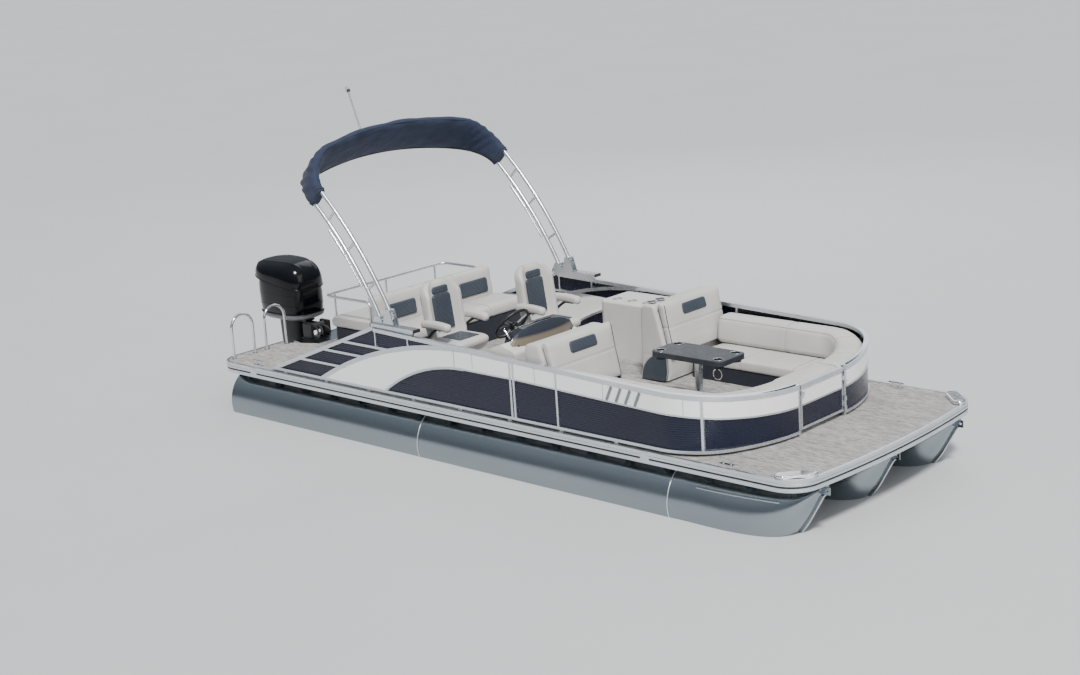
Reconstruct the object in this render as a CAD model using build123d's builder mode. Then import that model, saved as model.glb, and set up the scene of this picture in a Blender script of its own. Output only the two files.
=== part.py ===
"""Three-tube pontoon boat with a fenced deck, an arch and an outboard motor.

Millimetres. +X points to the bow, +Y to port, +Z up. The origin lies on the
centreline, halfway along the deck, at the still waterline.
"""
import os
from math import asin, atan2, cos, degrees, hypot, radians, sin

from build123d import *

# Deck
DECK_LENGTH = 7000
DECK_BEAM = 2590
DECK_TOP = 515
DECK_THICKNESS = 25
BOW_CROWN = 90
BOW_CORNER_RADIUS = 250
STERN_CORNER_RADIUS = 220
NOTCH_MOUTH = 960
NOTCH_FLOOR = 640
NOTCH_DEPTH = 400
HALF_BEAM = DECK_BEAM / 2
BOW_X = DECK_LENGTH / 2
STERN_X = -DECK_LENGTH / 2
DECK_UNDER = DECK_TOP - DECK_THICKNESS

# Rub rail round the deck's edge
RUB_HEIGHT = 100
RUB_THICKNESS = 26
RUB_LIP = 9
RUB_GROOVE = 8
INSERT_DROP = 52
INSERT_HEIGHT = 16

# Cross members under the deck
CHANNEL_HEIGHT = 55
CHANNEL_WIDTH = 60
CHANNEL_WALL = 5
CHANNEL_COUNT = 17
CHANNEL_STERN_GAP = 230
CHANNEL_BOW_GAP = 290
CHANNEL_SIDE_GAP = 60
CHANNEL_FIRST_X = STERN_X + CHANNEL_STERN_GAP
CHANNEL_LAST_X = BOW_X - CHANNEL_BOW_GAP
CHANNEL_PITCH = (CHANNEL_LAST_X - CHANNEL_FIRST_X) / (CHANNEL_COUNT - 1)
CHANNEL_HALF_LENGTH = HALF_BEAM - CHANNEL_SIDE_GAP

# Pontoons
TUBE_RADIUS = 310
TUBE_INSET = 325
TUBE_STERN_GAP = 120
CENTRE_STERN_GAP = 600
NOSE_LENGTH = 1350
NOSE_BEND_SETBACK = 800
NOSE_BEND_RADIUS = 680
NOSE_BEND_ANGLE = 60
RISER_HEIGHT = 20
RISER_WIDTH = 90
KEEL_WIDTH = 30
KEEL_DEPTH = 14
STRAKE_WIDTH = 46
STRAKE_HEIGHT = 30
STRAKE_ANGLE = 50
WELD_WIDTH = 14
WELD_PROUD = 2
SECOND_WELD_X = -700
EYE_THICKNESS = 12
EYE_HOLE_RADIUS = 13
TUBE_Y = HALF_BEAM - TUBE_INSET
TUBE_STERN_X = STERN_X + TUBE_STERN_GAP
CENTRE_STERN_X = STERN_X + CENTRE_STERN_GAP
TUBE_NOSE_X = BOW_X - NOSE_LENGTH
NOSE_BEND_X = BOW_X - NOSE_BEND_SETBACK
TUBE_TOP = DECK_UNDER - CHANNEL_HEIGHT - RISER_HEIGHT
TUBE_Z = TUBE_TOP - TUBE_RADIUS
KEEL_Z = TUBE_Z - TUBE_RADIUS

# Fence
FENCE_INSET = 57
FENCE_GAP = 22
RAIL_WIDTH = 40
TOP_RAIL = 34
BASE_RAIL = 26
TRIM = 14
BAR = 22
PANEL_SKIN = 5
BAND_SKIN = 7
BAND_DEPTH = 175
POST = 26
GATE_SETBACK = 750
GATE_HALF = 309
GATE_GAP = 6
FOOT_PITCH = 590
TURN_SETBACK = 670
TURN_RADIUS = 560
TURN_ANGLE = 60
RAIL_AT_GATE = 420
RAIL_AT_DIP = 507
DIP_SETBACK = 550
RAIL_SLOPE = 0.031
LOUVRE_FOOT_GAP = 810
LOUVRE_RUN = 1500
ARC_FOOT_STEP = 700
ARC_TOP_X = 0
INNER_ARC_FOOT_STEP = 870
INNER_ARC_TOP_X = -60
INNER_ARC_TOP = 383
ARC_JOIN_X = 600
FENCE_Y = HALF_BEAM - FENCE_INSET
GATE_X = BOW_X - GATE_SETBACK
TURN_X = GATE_X - TURN_SETBACK
DIP_X = GATE_X - DIP_SETBACK
LOUVRE_FOOT_X = STERN_X + LOUVRE_FOOT_GAP
LOUVRE_TOP_X = LOUVRE_FOOT_X + LOUVRE_RUN
ARC_FOOT_X = LOUVRE_FOOT_X + ARC_FOOT_STEP
INNER_ARC_FOOT_X = ARC_FOOT_X + INNER_ARC_FOOT_STEP

# Slanted bars on the white band: place of the first, step, lean and size
GILL_COUNT = 4
GILL_X = 1585
GILL_STEP = 97
GILL_LEAN = 27
GILL_WIDTH = 24
GILL_PROUD = 9
GILL_MARGIN = 14

# Bow gate's hinges: heights above the deck
GATE_HINGES = [110, 330]
HINGE_RADIUS = 8
HINGE_LENGTH = 40
HINGE_X = GATE_X + 26
HINGE_Y = GATE_HALF - 2

# Arch
ARCH_PIVOT_X = -1140
ARCH_PIVOT_UP = 702
ARCH_FOOT_LEAN = 27.5
ARCH_TURN = 20
ARCH_INSET = 38
ARCH_TUBE_RADIUS = 20
ARCH_HOOP_GAP = 155
ARCH_LEG = 1235
ARCH_SHOULDER_RADIUS = 420
ARCH_SHOULDER_ANGLE = 74
ARCH_TIES = [4.5, 11, 16.5]
SLIDE_AFT_X = -1210
SLIDE_FORE_X = -660
STRUT_GAP = 48
STRUT_TOP = 4.6
STRUT_JOINT = 9.4
STRUT_FOOT = 14.6
CANVAS_WIDTH = 400
CANVAS_DEPTH = 110
MAST_LENGTH = 560
MAST_Y = -180
ARCH_Y = FENCE_Y - ARCH_INSET
ARCH_RADIUS = ARCH_LEG / (2 * sin(radians(ARCH_TURN / 2)))

# Lounges
SEAT_TOP = 230
SEAT_CUSHION = 100
BACK_TOP = 395
BACK_DEPTH = 150
BACK_OUTER = 34
LOUNGE_DEPTH = 620
CHAISE_X = 590
CHAISE_LENGTH = 370
CHAISE_TOP = 700
CHAISE_INNER_Y = 320
LOUNGE_GAP = 48
SEAM_GAP = 4
LOUNGE_SIDE_Y = FENCE_Y - LOUNGE_GAP
SEAM_Y = -GATE_HALF - SEAM_GAP

# Chairs, helm and table
CHAIR_X = -820
CHAIR_Y = -560
COMPANION_X = -480
COMPANION_Y = 330
CHAIR_SEAT_TOP = 430
CHAIR_BACK = 490
CHAIR_WIDTH = 450
WHEEL_RADIUS = 185
WHEEL_CENTRE = (-85, -600, 640)
WHEEL_TILT = 40
CONSOLE_INNER_Y = -330
DASH_WIDTH = 500
SCREEN_X = 500
SCREEN_UP = 760
SCREEN_SPAN = 780
PORT_CONSOLE_START = -250
PORT_CONSOLE_END = 560
PORT_CONSOLE_INNER_Y = 760
PORT_CONSOLE_TOP = 540
CUP_RADIUS = 42
CUP_DEPTH = 70
TABLE_LENGTH = 760
TABLE_WIDTH = 370
TABLE_THICKNESS = 45
TABLE_UP = 500
TABLE_X = 1610
TABLE_Y = -130
TABLE_CUP_FROM_END = 75
TABLE_CUP_FROM_SIDE = 65

# Aft lounge
AFT_SEAT_X = -1560
AFT_BACK_X = -2030
AFT_END_X = -2780
AFT_INNER_Y = -420
AFT_TOP = 620
AFT_RAIL_UP = 560
AFT_RAIL_RADIUS = 13

# Fittings on the deck's edge
HOOP_HEIGHT = 430
HOOP_WIDTH = 260
HOOP_RADIUS = 14
HOOP_STERN_GAP = 110
HOOP_PLACES = [-1170, -760]
CLEAT_INSET = 90
CLEAT_STERN_GAP = 530
CLEAT_BOW_GAP = 800
CORNER_SETBACK = 200
CORNER_INSET = 145

# Outboard
POD_WIDTH = 580
TILT_PIN = 22
STEER_PIN = 23.7
PIN_GAP = 0.3
PLATE_UP = 195
TRANSOM_GAP = 40
TILT_FORWARD = 35
TILT_UP = 60
STEER_AFT = 100
COWL_AFT = 230
COWL_LENGTH = 770
COWL_WIDTH = 500
COWL_BASE_UP = 130
COWL_TOP_UP = 750
HOOD_LIP_FRONT = 400
HOOD_LIP_REAR = 470
PROP_Z = -330
PROP_RADIUS = 190
PROP_AFT = 160
BLADE_COUNT = 3
BLADE_PITCH = 32
TRANSOM_X = STERN_X - TRANSOM_GAP
TILT_X = TRANSOM_X + TILT_FORWARD
STEER_X = TRANSOM_X - STEER_AFT
COWL_X = STEER_X - COWL_AFT
PROP_X = COWL_X - PROP_AFT
TILT_Z = DECK_TOP + TILT_UP


def keep(built, name):
    """Labels a finished piece and writes its file."""
    built.part.label = name
    export_step(built.part, f"parts/{name}.step")


def bar(x, y, z, mode=Mode.ADD):
    """Adds a box between three (low, high) pairs to the part being built."""
    with Locations(((x[0] + x[1]) / 2, (y[0] + y[1]) / 2, (z[0] + z[1]) / 2)):
        Box(x[1] - x[0], y[1] - y[0], z[1] - z[0], mode=mode)


def rod(start, end, radius):
    """Adds a round bar between two points to the part being built."""
    run = Vector(*end) - Vector(*start)
    with BuildSketch(Plane(origin=start, z_dir=run)) as section:
        Circle(radius)
    extrude(section.sketch, amount=run.length)


def bent_tube(points, radii, radius):
    """Adds a round tube bent at its inner points to the part being built."""
    with BuildLine() as path:
        FilletPolyline(*points, radius=radii)
    start = Vector(*points[1]) - Vector(*points[0])
    with BuildSketch(Plane(origin=points[0], z_dir=start)) as section:
        Circle(radius)
    sweep(section.sketch, path=path.wires()[0])


def mirrored(built):
    """The same piece on the other side of the centreline."""
    with BuildPart() as other:
        mirror(built.part, about=Plane.XZ)
    return other


def draw_deck(inset):
    """Draws the deck's plan, set in from its edge."""
    side = HALF_BEAM - inset
    bow = BOW_X - inset
    shoulder = bow - BOW_CROWN
    stern = STERN_X + inset
    with BuildLine() as edge:
        ThreePointArc((shoulder, -side), (bow, 0), (shoulder, side))
        Polyline((shoulder, side), (stern, side), (stern, -side), (shoulder, -side))
    make_face(edge.edges())
    fillet(vertices().sort_by(Axis.X)[-2:], BOW_CORNER_RADIUS - inset)
    fillet(vertices().sort_by(Axis.X)[:2], STERN_CORNER_RADIUS - inset)


def draw_notch():
    """Draws the cut-out for the motor at the stern."""
    floor_x = STERN_X + NOTCH_DEPTH
    with BuildLine() as edge:
        Polyline(
            (STERN_X - 50, NOTCH_MOUTH / 2),
            (STERN_X + 40, NOTCH_MOUTH / 2),
            (floor_x, NOTCH_FLOOR / 2),
            (floor_x, -NOTCH_FLOOR / 2),
            (STERN_X + 40, -NOTCH_MOUTH / 2),
            (STERN_X - 50, -NOTCH_MOUTH / 2),
            close=True,
        )
    make_face(edge.edges())


def ring(inner, outer, top, height, mode=Mode.ADD):
    """Adds a band round the deck, between two insets, down from its top."""
    with BuildSketch(Plane.XY.offset(top - height)) as plan:
        draw_deck(outer)
        with BuildSketch(Plane.XY, mode=Mode.SUBTRACT):
            draw_deck(inner)
    extrude(plan.sketch, amount=height, mode=mode)


def cut_notch():
    """Takes the motor's cut-out from the part being built."""
    with BuildSketch(Plane.XY.offset(DECK_TOP - 300)) as plan:
        draw_notch()
    extrude(plan.sketch, amount=600, mode=Mode.SUBTRACT)


def make_deck():
    """The floor, with the rub rail and its dark insert round it."""
    with BuildPart() as deck:
        with BuildSketch(Plane.XY.offset(DECK_UNDER)):
            draw_deck(RUB_THICKNESS)
        extrude(amount=DECK_THICKNESS)
        cut_notch()
    keep(deck, "deck")

    top = DECK_TOP + RUB_LIP
    with BuildPart() as rail:
        ring(RUB_THICKNESS, 0, top, RUB_HEIGHT)
        ring(RUB_GROOVE, 0, top - INSERT_DROP, INSERT_HEIGHT, Mode.SUBTRACT)
        ring(RUB_GROOVE / 2, 0, top - 22, 12, Mode.SUBTRACT)
        cut_notch()
    keep(rail, "rub_rail")

    with BuildPart() as insert:
        ring(RUB_GROOVE, 2, top - INSERT_DROP, INSERT_HEIGHT)
        cut_notch()
    keep(insert, "rub_insert")


def make_cross_members():
    """Channels across the boat, open below."""
    length = 2 * CHANNEL_HALF_LENGTH
    middle_x = CHANNEL_FIRST_X + CHANNEL_PITCH * (CHANNEL_COUNT - 1) / 2
    middle_z = DECK_UNDER - CHANNEL_HEIGHT / 2
    with BuildPart() as channels:
        with Locations((middle_x, 0, middle_z)):
            with GridLocations(CHANNEL_PITCH, 1, CHANNEL_COUNT, 1):
                Box(CHANNEL_WIDTH, length, CHANNEL_HEIGHT)
        with Locations((middle_x, 0, middle_z - CHANNEL_WALL)):
            with GridLocations(CHANNEL_PITCH, 1, CHANNEL_COUNT, 1):
                Box(CHANNEL_WIDTH - 2 * CHANNEL_WALL, length, CHANNEL_HEIGHT, mode=Mode.SUBTRACT)
        cut_notch()
    keep(channels, "cross_members")


def keel_height(x):
    """Height of the nose's lower edge at a place along the boat."""
    along = x - NOSE_BEND_X
    bend = NOSE_BEND_RADIUS * sin(radians(NOSE_BEND_ANGLE))
    if along <= 0:
        return KEEL_Z
    if along < bend:
        return KEEL_Z + NOSE_BEND_RADIUS * (1 - cos(asin(along / NOSE_BEND_RADIUS)))
    rise = NOSE_BEND_RADIUS * (1 - cos(radians(NOSE_BEND_ANGLE)))
    slope = sin(radians(NOSE_BEND_ANGLE)) / cos(radians(NOSE_BEND_ANGLE))
    return KEEL_Z + rise + (along - bend) * slope


def nose_tip_x():
    """Where the nose's lower edge reaches the top of the tube."""
    bend = NOSE_BEND_RADIUS * sin(radians(NOSE_BEND_ANGLE))
    rise = NOSE_BEND_RADIUS * (1 - cos(radians(NOSE_BEND_ANGLE)))
    slope = sin(radians(NOSE_BEND_ANGLE)) / cos(radians(NOSE_BEND_ANGLE))
    return NOSE_BEND_X + bend + (2 * TUBE_RADIUS - rise) / slope


# Share of the way along the nose, share of the tube's radius that is left
NOSE_SECTIONS = [
    (0.0, 1.0),
    (0.38, 1.0),
    (0.60, 0.93),
    (0.78, 0.76),
    (0.90, 0.52),
    (0.975, 0.24),
]


def make_pontoon(name, y, stern_x):
    """One tube with its nose, riser, keel strip and bow eye."""
    tip = nose_tip_x()
    with BuildPart() as tube:
        with BuildSketch(Plane(origin=(stern_x, y, TUBE_Z), z_dir=(1, 0, 0))):
            Circle(TUBE_RADIUS)
        extrude(amount=TUBE_NOSE_X - stern_x)
        chamfer(tube.faces().sort_by(Axis.X)[0].edges(), 15)
        for along, share in NOSE_SECTIONS:
            x = TUBE_NOSE_X + along * (tip - TUBE_NOSE_X)
            low = keel_height(x)
            middle = (TUBE_TOP + low) / 2
            with BuildSketch(Plane(origin=(x, y, middle), x_dir=(0, 1, 0), z_dir=(1, 0, 0))):
                Ellipse(TUBE_RADIUS * share, (TUBE_TOP - low) / 2)
        loft()
        riser = (TUBE_TOP - 12, TUBE_TOP + RISER_HEIGHT)
        bar((stern_x + 60, tip - 200), (y - RISER_WIDTH / 2, y + RISER_WIDTH / 2), riser)
        with BuildSketch(Plane(origin=(0, y - KEEL_WIDTH / 2, 0), x_dir=(1, 0, 0), z_dir=(0, 1, 0))):
            draw_keel(stern_x + 80, tip)
        extrude(amount=KEEL_WIDTH)
        eye_z = TUBE_TOP - 35
        bar((tip - 70, tip + 25), (y - EYE_THICKNESS / 2, y + EYE_THICKNESS / 2), (eye_z - 30, eye_z + 30))
        with Locations(Location((tip, y, eye_z), (90, 0, 0))):
            Cylinder(EYE_HOLE_RADIUS, 60, mode=Mode.SUBTRACT)
        for x in (TUBE_NOSE_X, SECOND_WELD_X):
            with Locations(Location((x, y, TUBE_Z), (0, 90, 0))):
                Cylinder(TUBE_RADIUS + WELD_PROUD, WELD_WIDTH)
        for side in (-1, 1):
            add_strake(y, side, stern_x + 80, TUBE_NOSE_X + 350)
    keep(tube, name)


def add_strake(y, side, start_x, end_x):
    """Adds a lifting strake low on one side of a tube."""
    face = TUBE_RADIUS * cos(radians(STRAKE_ANGLE))
    depth = TUBE_RADIUS * sin(radians(STRAKE_ANGLE))
    root = (y + side * (face - 12), TUBE_Z - depth)
    with BuildSketch(Plane(origin=(start_x, 0, 0), x_dir=(0, 1, 0), z_dir=(1, 0, 0))) as section:
        with BuildLine() as edge:
            Polyline(
                (root[0], root[1] + STRAKE_HEIGHT),
                (root[0], root[1] - STRAKE_HEIGHT / 2),
                (root[0] + side * STRAKE_WIDTH, root[1] - STRAKE_HEIGHT / 2),
                close=True,
            )
        make_face(edge.edges())
    extrude(section.sketch, amount=end_x - start_x)


def draw_keel(stern_x, tip):
    """Draws the strip along the keel and up the nose, seen from the side."""
    bend = radians(NOSE_BEND_ANGLE)
    outer = NOSE_BEND_RADIUS + KEEL_DEPTH
    inner = NOSE_BEND_RADIUS - KEEL_DEPTH
    centre = (NOSE_BEND_X, KEEL_Z + NOSE_BEND_RADIUS)

    def on_bend(radius, angle):
        return (centre[0] + radius * sin(angle), -(centre[1] - radius * cos(angle)))

    run = (tip - 30 - on_bend(outer, bend)[0]) / cos(bend)
    step = (run * cos(bend), -run * sin(bend))
    outer_end = on_bend(outer, bend)
    inner_end = on_bend(inner, bend)
    with BuildLine() as strip:
        Line((stern_x, -(KEEL_Z + KEEL_DEPTH)), (stern_x, -(KEEL_Z - KEEL_DEPTH)))
        Line((stern_x, -(KEEL_Z - KEEL_DEPTH)), on_bend(outer, 0))
        ThreePointArc(on_bend(outer, 0), on_bend(outer, bend / 2), outer_end)
        Polyline(
            outer_end,
            (outer_end[0] + step[0], outer_end[1] + step[1]),
            (inner_end[0] + step[0], inner_end[1] + step[1]),
            inner_end,
        )
        ThreePointArc(inner_end, on_bend(inner, bend / 2), on_bend(inner, 0))
        Line(on_bend(inner, 0), (stern_x, -(KEEL_Z + KEEL_DEPTH)))
    make_face(strip.edges())


# Fence: plan line
ARC_END = (
    TURN_X + TURN_RADIUS * sin(radians(TURN_ANGLE)),
    -FENCE_Y + TURN_RADIUS * (1 - cos(radians(TURN_ANGLE))),
)
GATE_POST_Y = -(GATE_HALF + POST / 2)
CHORD = hypot(GATE_X - ARC_END[0], GATE_POST_Y - ARC_END[1])
CHORD_ANGLE = degrees(atan2(GATE_POST_Y - ARC_END[1], GATE_X - ARC_END[0]))
BOW_ANGLE = 2 * (CHORD_ANGLE - TURN_ANGLE)
BOW_RADIUS = CHORD / (2 * sin(radians(BOW_ANGLE / 2)))


def plan_line(offset, start_x):
    """Adds the starboard fence's plan line, moved outwards, and gives its ends."""
    start = (start_x, -FENCE_Y - offset)
    turn = (TURN_X, -FENCE_Y - offset)
    Line(start, turn)
    bend = JernArc(turn, (1, 0), TURN_RADIUS + offset, TURN_ANGLE)
    bow = JernArc(bend @ 1, bend % 1, BOW_RADIUS + offset, BOW_ANGLE)
    return start, bow @ 1


def draw_wall(inner, outer, start_x):
    """Draws the fence's plan between two offsets."""
    with BuildLine() as wall:
        near = plan_line(outer, start_x)
        far = plan_line(inner, start_x)
        Line(near[0], far[0])
        Line(near[1], far[1])
    make_face(wall.edges())


def rail_top(x):
    """Height of the fence's top edge above the deck, aft of the dip to the gate."""
    return RAIL_AT_DIP + RAIL_SLOPE * (DIP_X - x)


def top_edge(start_x, drop):
    """Adds the fence's top line, moved down, from a place to the gate, and gives its ends."""
    up = DECK_TOP - drop
    start = (start_x, up + rail_top(start_x))
    dip = (DIP_X, up + RAIL_AT_DIP)
    Line(start, dip)
    end = (GATE_X + RAIL_WIDTH, up + RAIL_AT_GATE)
    TangentArc(dip, end, tangent=(1, -RAIL_SLOPE))
    return start, end


BASE_Z = DECK_TOP + FENCE_GAP


def arc_size(foot_x, top_x, top_z):
    """Radius and sweep of an arc that is level at its top and ends at the base."""
    run = top_x - foot_x
    rise = top_z - BASE_Z
    radius = (run * run + rise * rise) / (2 * rise)
    return radius, degrees(asin(run / radius))


ARC_RADIUS, ARC_SWEEP = arc_size(ARC_FOOT_X, ARC_TOP_X, DECK_TOP + rail_top(ARC_TOP_X) - TOP_RAIL / 2)
INNER_RADIUS, INNER_SWEEP = arc_size(INNER_ARC_FOOT_X, INNER_ARC_TOP_X, DECK_TOP + INNER_ARC_TOP)
LOUVRE_FOOT = (LOUVRE_FOOT_X, BASE_Z)
LOUVRE_TOP = (LOUVRE_TOP_X, DECK_TOP + rail_top(LOUVRE_TOP_X))

# Louvre bars: height above the deck
LOUVRE_BARS = [185, 322, 433]

# Upright dividers: place along the boat, width, lower end and upper end above the deck
UPRIGHTS = [
    (492, 22, FENCE_GAP, 540),
    (528, 22, FENCE_GAP, 540),
    (1011, 20, FENCE_GAP, 530),
    (GATE_X - 325, 16, FENCE_GAP, 480),
    (-170, 12, 385, 560),
    (-1170, 14, 420, 590),
    (-745, 14, 500, 580),
]


def draw_above(draw_line):
    """Draws everything from a line down to the fence's base."""
    with BuildLine() as outline:
        start, end = (Vector(point) for point in draw_line())
        Line(end, (end.X, BASE_Z))
        Line((end.X, BASE_Z), (start.X, BASE_Z))
    make_face(outline.edges())


def lower_line():
    """Adds the lower edge of the white band, with the inner arc, and gives its ends."""
    arc = JernArc((INNER_ARC_TOP_X, DECK_TOP + INNER_ARC_TOP), (-1, 0), INNER_RADIUS, INNER_SWEEP)
    start = (ARC_JOIN_X, DECK_TOP + rail_top(ARC_JOIN_X) - BAND_DEPTH)
    Line((INNER_ARC_TOP_X, DECK_TOP + INNER_ARC_TOP), start)
    end = top_edge(ARC_JOIN_X, BAND_DEPTH)[1]
    return arc @ 1, end


def upper_line():
    """Adds the outer arc and the top edge forward of it, and gives its ends."""
    top = (ARC_TOP_X, DECK_TOP + rail_top(ARC_TOP_X) - TOP_RAIL / 2)
    arc = JernArc(top, (-1, 0), ARC_RADIUS, ARC_SWEEP)
    end = top_edge(ARC_TOP_X, TOP_RAIL / 2)[1]
    return arc @ 1, end


def louvre_line():
    """Adds the slanted aft rail and the top edge as far as the arc, and gives its ends."""
    Line(LOUVRE_FOOT, LOUVRE_TOP)
    end = (ARC_TOP_X, DECK_TOP + rail_top(ARC_TOP_X) - TOP_RAIL / 2)
    Line(LOUVRE_TOP, end)
    return LOUVRE_FOOT, end


def draw_strip(points, width):
    """Draws a straight strip of one width between two points."""
    with BuildLine() as strip:
        Line(*points)
    trace(strip.line, line_width=width)


def draw_frame():
    """Draws all rails, arcs, bars and posts of a side fence, seen from the side."""
    with BuildLine() as top:
        top_edge(LOUVRE_TOP_X, TOP_RAIL / 2)
    trace(top.line, line_width=TOP_RAIL)
    base = BASE_Z + BASE_RAIL / 2
    draw_strip([(LOUVRE_FOOT_X, base), (GATE_X + RAIL_WIDTH, base)], BASE_RAIL)
    draw_strip([LOUVRE_FOOT, LOUVRE_TOP], TOP_RAIL)
    with BuildLine() as arc:
        JernArc((ARC_TOP_X, DECK_TOP + rail_top(ARC_TOP_X) - TOP_RAIL / 2), (-1, 0), ARC_RADIUS, ARC_SWEEP)
    trace(arc.line, line_width=TOP_RAIL)
    with BuildLine() as inner:
        JernArc((INNER_ARC_TOP_X, DECK_TOP + INNER_ARC_TOP), (-1, 0), INNER_RADIUS, INNER_SWEEP)
    trace(inner.line, line_width=BAR)
    with BuildLine() as edge:
        Line((INNER_ARC_TOP_X, DECK_TOP + INNER_ARC_TOP), (ARC_JOIN_X, DECK_TOP + rail_top(ARC_JOIN_X) - BAND_DEPTH))
        top_edge(ARC_JOIN_X, BAND_DEPTH)
    trace(edge.line, line_width=TRIM)
    for up in LOUVRE_BARS:
        draw_strip([louvre_at(up), arc_at(up)], BAR)
    for x, width, low, high in UPRIGHTS:
        draw_strip([(x, DECK_TOP + low), (x, DECK_TOP + high)], width)


def louvre_at(up):
    """The point of the slanted rail at a height above the deck."""
    share = (DECK_TOP + up - LOUVRE_FOOT[1]) / (LOUVRE_TOP[1] - LOUVRE_FOOT[1])
    return (LOUVRE_FOOT[0] + share * (LOUVRE_TOP[0] - LOUVRE_FOOT[0]), DECK_TOP + up)


def arc_at(up):
    """The point of the outer arc at a height above the deck."""
    top = DECK_TOP + rail_top(ARC_TOP_X) - TOP_RAIL / 2
    drop = top - (DECK_TOP + up)
    run = (ARC_RADIUS**2 - (ARC_RADIUS - drop) ** 2) ** 0.5
    return (ARC_TOP_X - run, DECK_TOP + up)


def raise_wall(inner, outer, start_x):
    """Adds the fence's wall between two offsets, higher than any rail."""
    with BuildSketch(Plane.XY.offset(DECK_TOP)) as plan:
        draw_wall(inner, outer, start_x)
    extrude(plan.sketch, amount=700)


def keep_seen(draw_lines, take_lines):
    """Keeps what lies inside some outlines and outside others, seen from the side."""
    with BuildSketch(Plane.XZ) as side:
        for draw in draw_lines:
            draw()
        if take_lines:
            with BuildSketch(Plane.XZ, mode=Mode.SUBTRACT):
                for draw in take_lines:
                    draw()
    extrude(side.sketch, amount=HALF_BEAM, mode=Mode.INTERSECT)


def draw_band():
    draw_above(upper_line)


def draw_lower():
    draw_above(lower_line)


def draw_louvre():
    with BuildLine() as outline:
        louvre_line()
        arc = JernArc((ARC_TOP_X, DECK_TOP + rail_top(ARC_TOP_X) - TOP_RAIL / 2), (-1, 0), ARC_RADIUS, ARC_SWEEP)
        Line(arc @ 1, LOUVRE_FOOT)
    make_face(outline.edges())


def cut_gateway():
    """Takes the bow gate's opening from the part being built."""
    post_y = -(GATE_HALF + POST)
    bar((GATE_X - 60, GATE_X + 60), (post_y, 0), (DECK_TOP, DECK_TOP + 700), Mode.SUBTRACT)


def draw_gills():
    """Draws the slanted bars on the white band, seen from the side."""
    for place in range(GILL_COUNT):
        x = GILL_X + place * GILL_STEP
        top = DECK_TOP + rail_top(x) - TOP_RAIL - GILL_MARGIN
        low = DECK_TOP + rail_top(x) - BAND_DEPTH + GILL_MARGIN
        draw_strip([(x + GILL_LEAN, top), (x - GILL_LEAN, low)], GILL_WIDTH)


def make_fence():
    """Both side fences: frame, navy panels, white upper band and its slanted bars."""
    with BuildPart() as frame:
        raise_wall(-RAIL_WIDTH / 2, RAIL_WIDTH / 2, LOUVRE_FOOT_X - 40)
        keep_seen([draw_frame], [])
        post_y = -(GATE_HALF + POST / 2)
        foot = LOUVRE_FOOT_X + 190
        while foot < TURN_X - 20:
            bar((foot - 20, foot + 20), (-FENCE_Y - 18, -FENCE_Y + 18), (DECK_TOP, BASE_Z + 2))
            foot += FOOT_PITCH
        bar(
            (GATE_X - POST / 2, GATE_X + POST / 2),
            (post_y - POST / 2, post_y + POST / 2),
            (DECK_TOP, DECK_TOP + RAIL_AT_GATE + 6),
        )
    keep(frame, "fence_frame_starboard")
    with BuildPart() as other:
        mirror(frame.part, about=Plane.XZ)
        add_gate_hinges()
    keep(other, "fence_frame_port")

    with BuildPart() as panels:
        raise_wall(2, 2 + PANEL_SKIN, LOUVRE_FOOT_X - 40)
        keep_seen([draw_lower, draw_louvre], [draw_frame])
        cut_gateway()
    keep(panels, "fence_panels_starboard")
    keep(mirrored(panels), "fence_panels_port")

    with BuildPart() as band:
        raise_wall(8, 8 + BAND_SKIN, LOUVRE_FOOT_X - 40)
        keep_seen([draw_band], [draw_lower, draw_frame])
        cut_gateway()
    keep(band, "fence_band_starboard")
    keep(mirrored(band), "fence_band_port")

    with BuildPart() as gills:
        raise_wall(8 + BAND_SKIN, 8 + BAND_SKIN + GILL_PROUD, LOUVRE_FOOT_X - 40)
        keep_seen([draw_gills], [])
        mirror(gills.part, about=Plane.XZ)
    keep(gills, "gills")


def make_gate():
    """The bow gate, hinged on its port post, with its panels."""
    side = GATE_HALF - GATE_GAP
    low = DECK_TOP + 2 * FENCE_GAP
    high = DECK_TOP + RAIL_AT_GATE
    band_low = high - BAND_DEPTH
    x = (GATE_X - 12, GATE_X + 12)
    with BuildPart() as frame:
        bar(x, (-side, side), (low, low + BAR))
        bar((GATE_X - 18, GATE_X + 18), (-side, side), (high - TOP_RAIL, high))
        bar((GATE_X - 8, GATE_X + 8), (-side, side), (band_low - TRIM / 2, band_low + TRIM / 2))
        for y in (-side, side - BAR):
            bar(x, (y, y + BAR), (low, high))
        for z in GATE_HINGES:
            with Locations((HINGE_X, HINGE_Y, DECK_TOP + z)):
                Cylinder(HINGE_RADIUS, HINGE_LENGTH)
            half = HINGE_LENGTH / 2
            bar((GATE_X + 10, HINGE_X), (side - 12, HINGE_Y), (DECK_TOP + z - half, DECK_TOP + z + half))
        latch_z = high - TOP_RAIL - 40
        bar((GATE_X + 12, GATE_X + 26), (-side, -side + 40), (latch_z - 12, latch_z + 12))
    keep(frame, "bow_gate_frame")

    inside = side - BAR
    with BuildPart() as panel:
        bar((GATE_X - 4, GATE_X + 1), (-inside, inside), (low + BAR, band_low - TRIM / 2))
    keep(panel, "bow_gate_panel")
    with BuildPart() as band:
        bar((GATE_X, GATE_X + 7), (-inside, inside), (band_low + TRIM / 2, high - TOP_RAIL))
    keep(band, "bow_gate_band")


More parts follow.
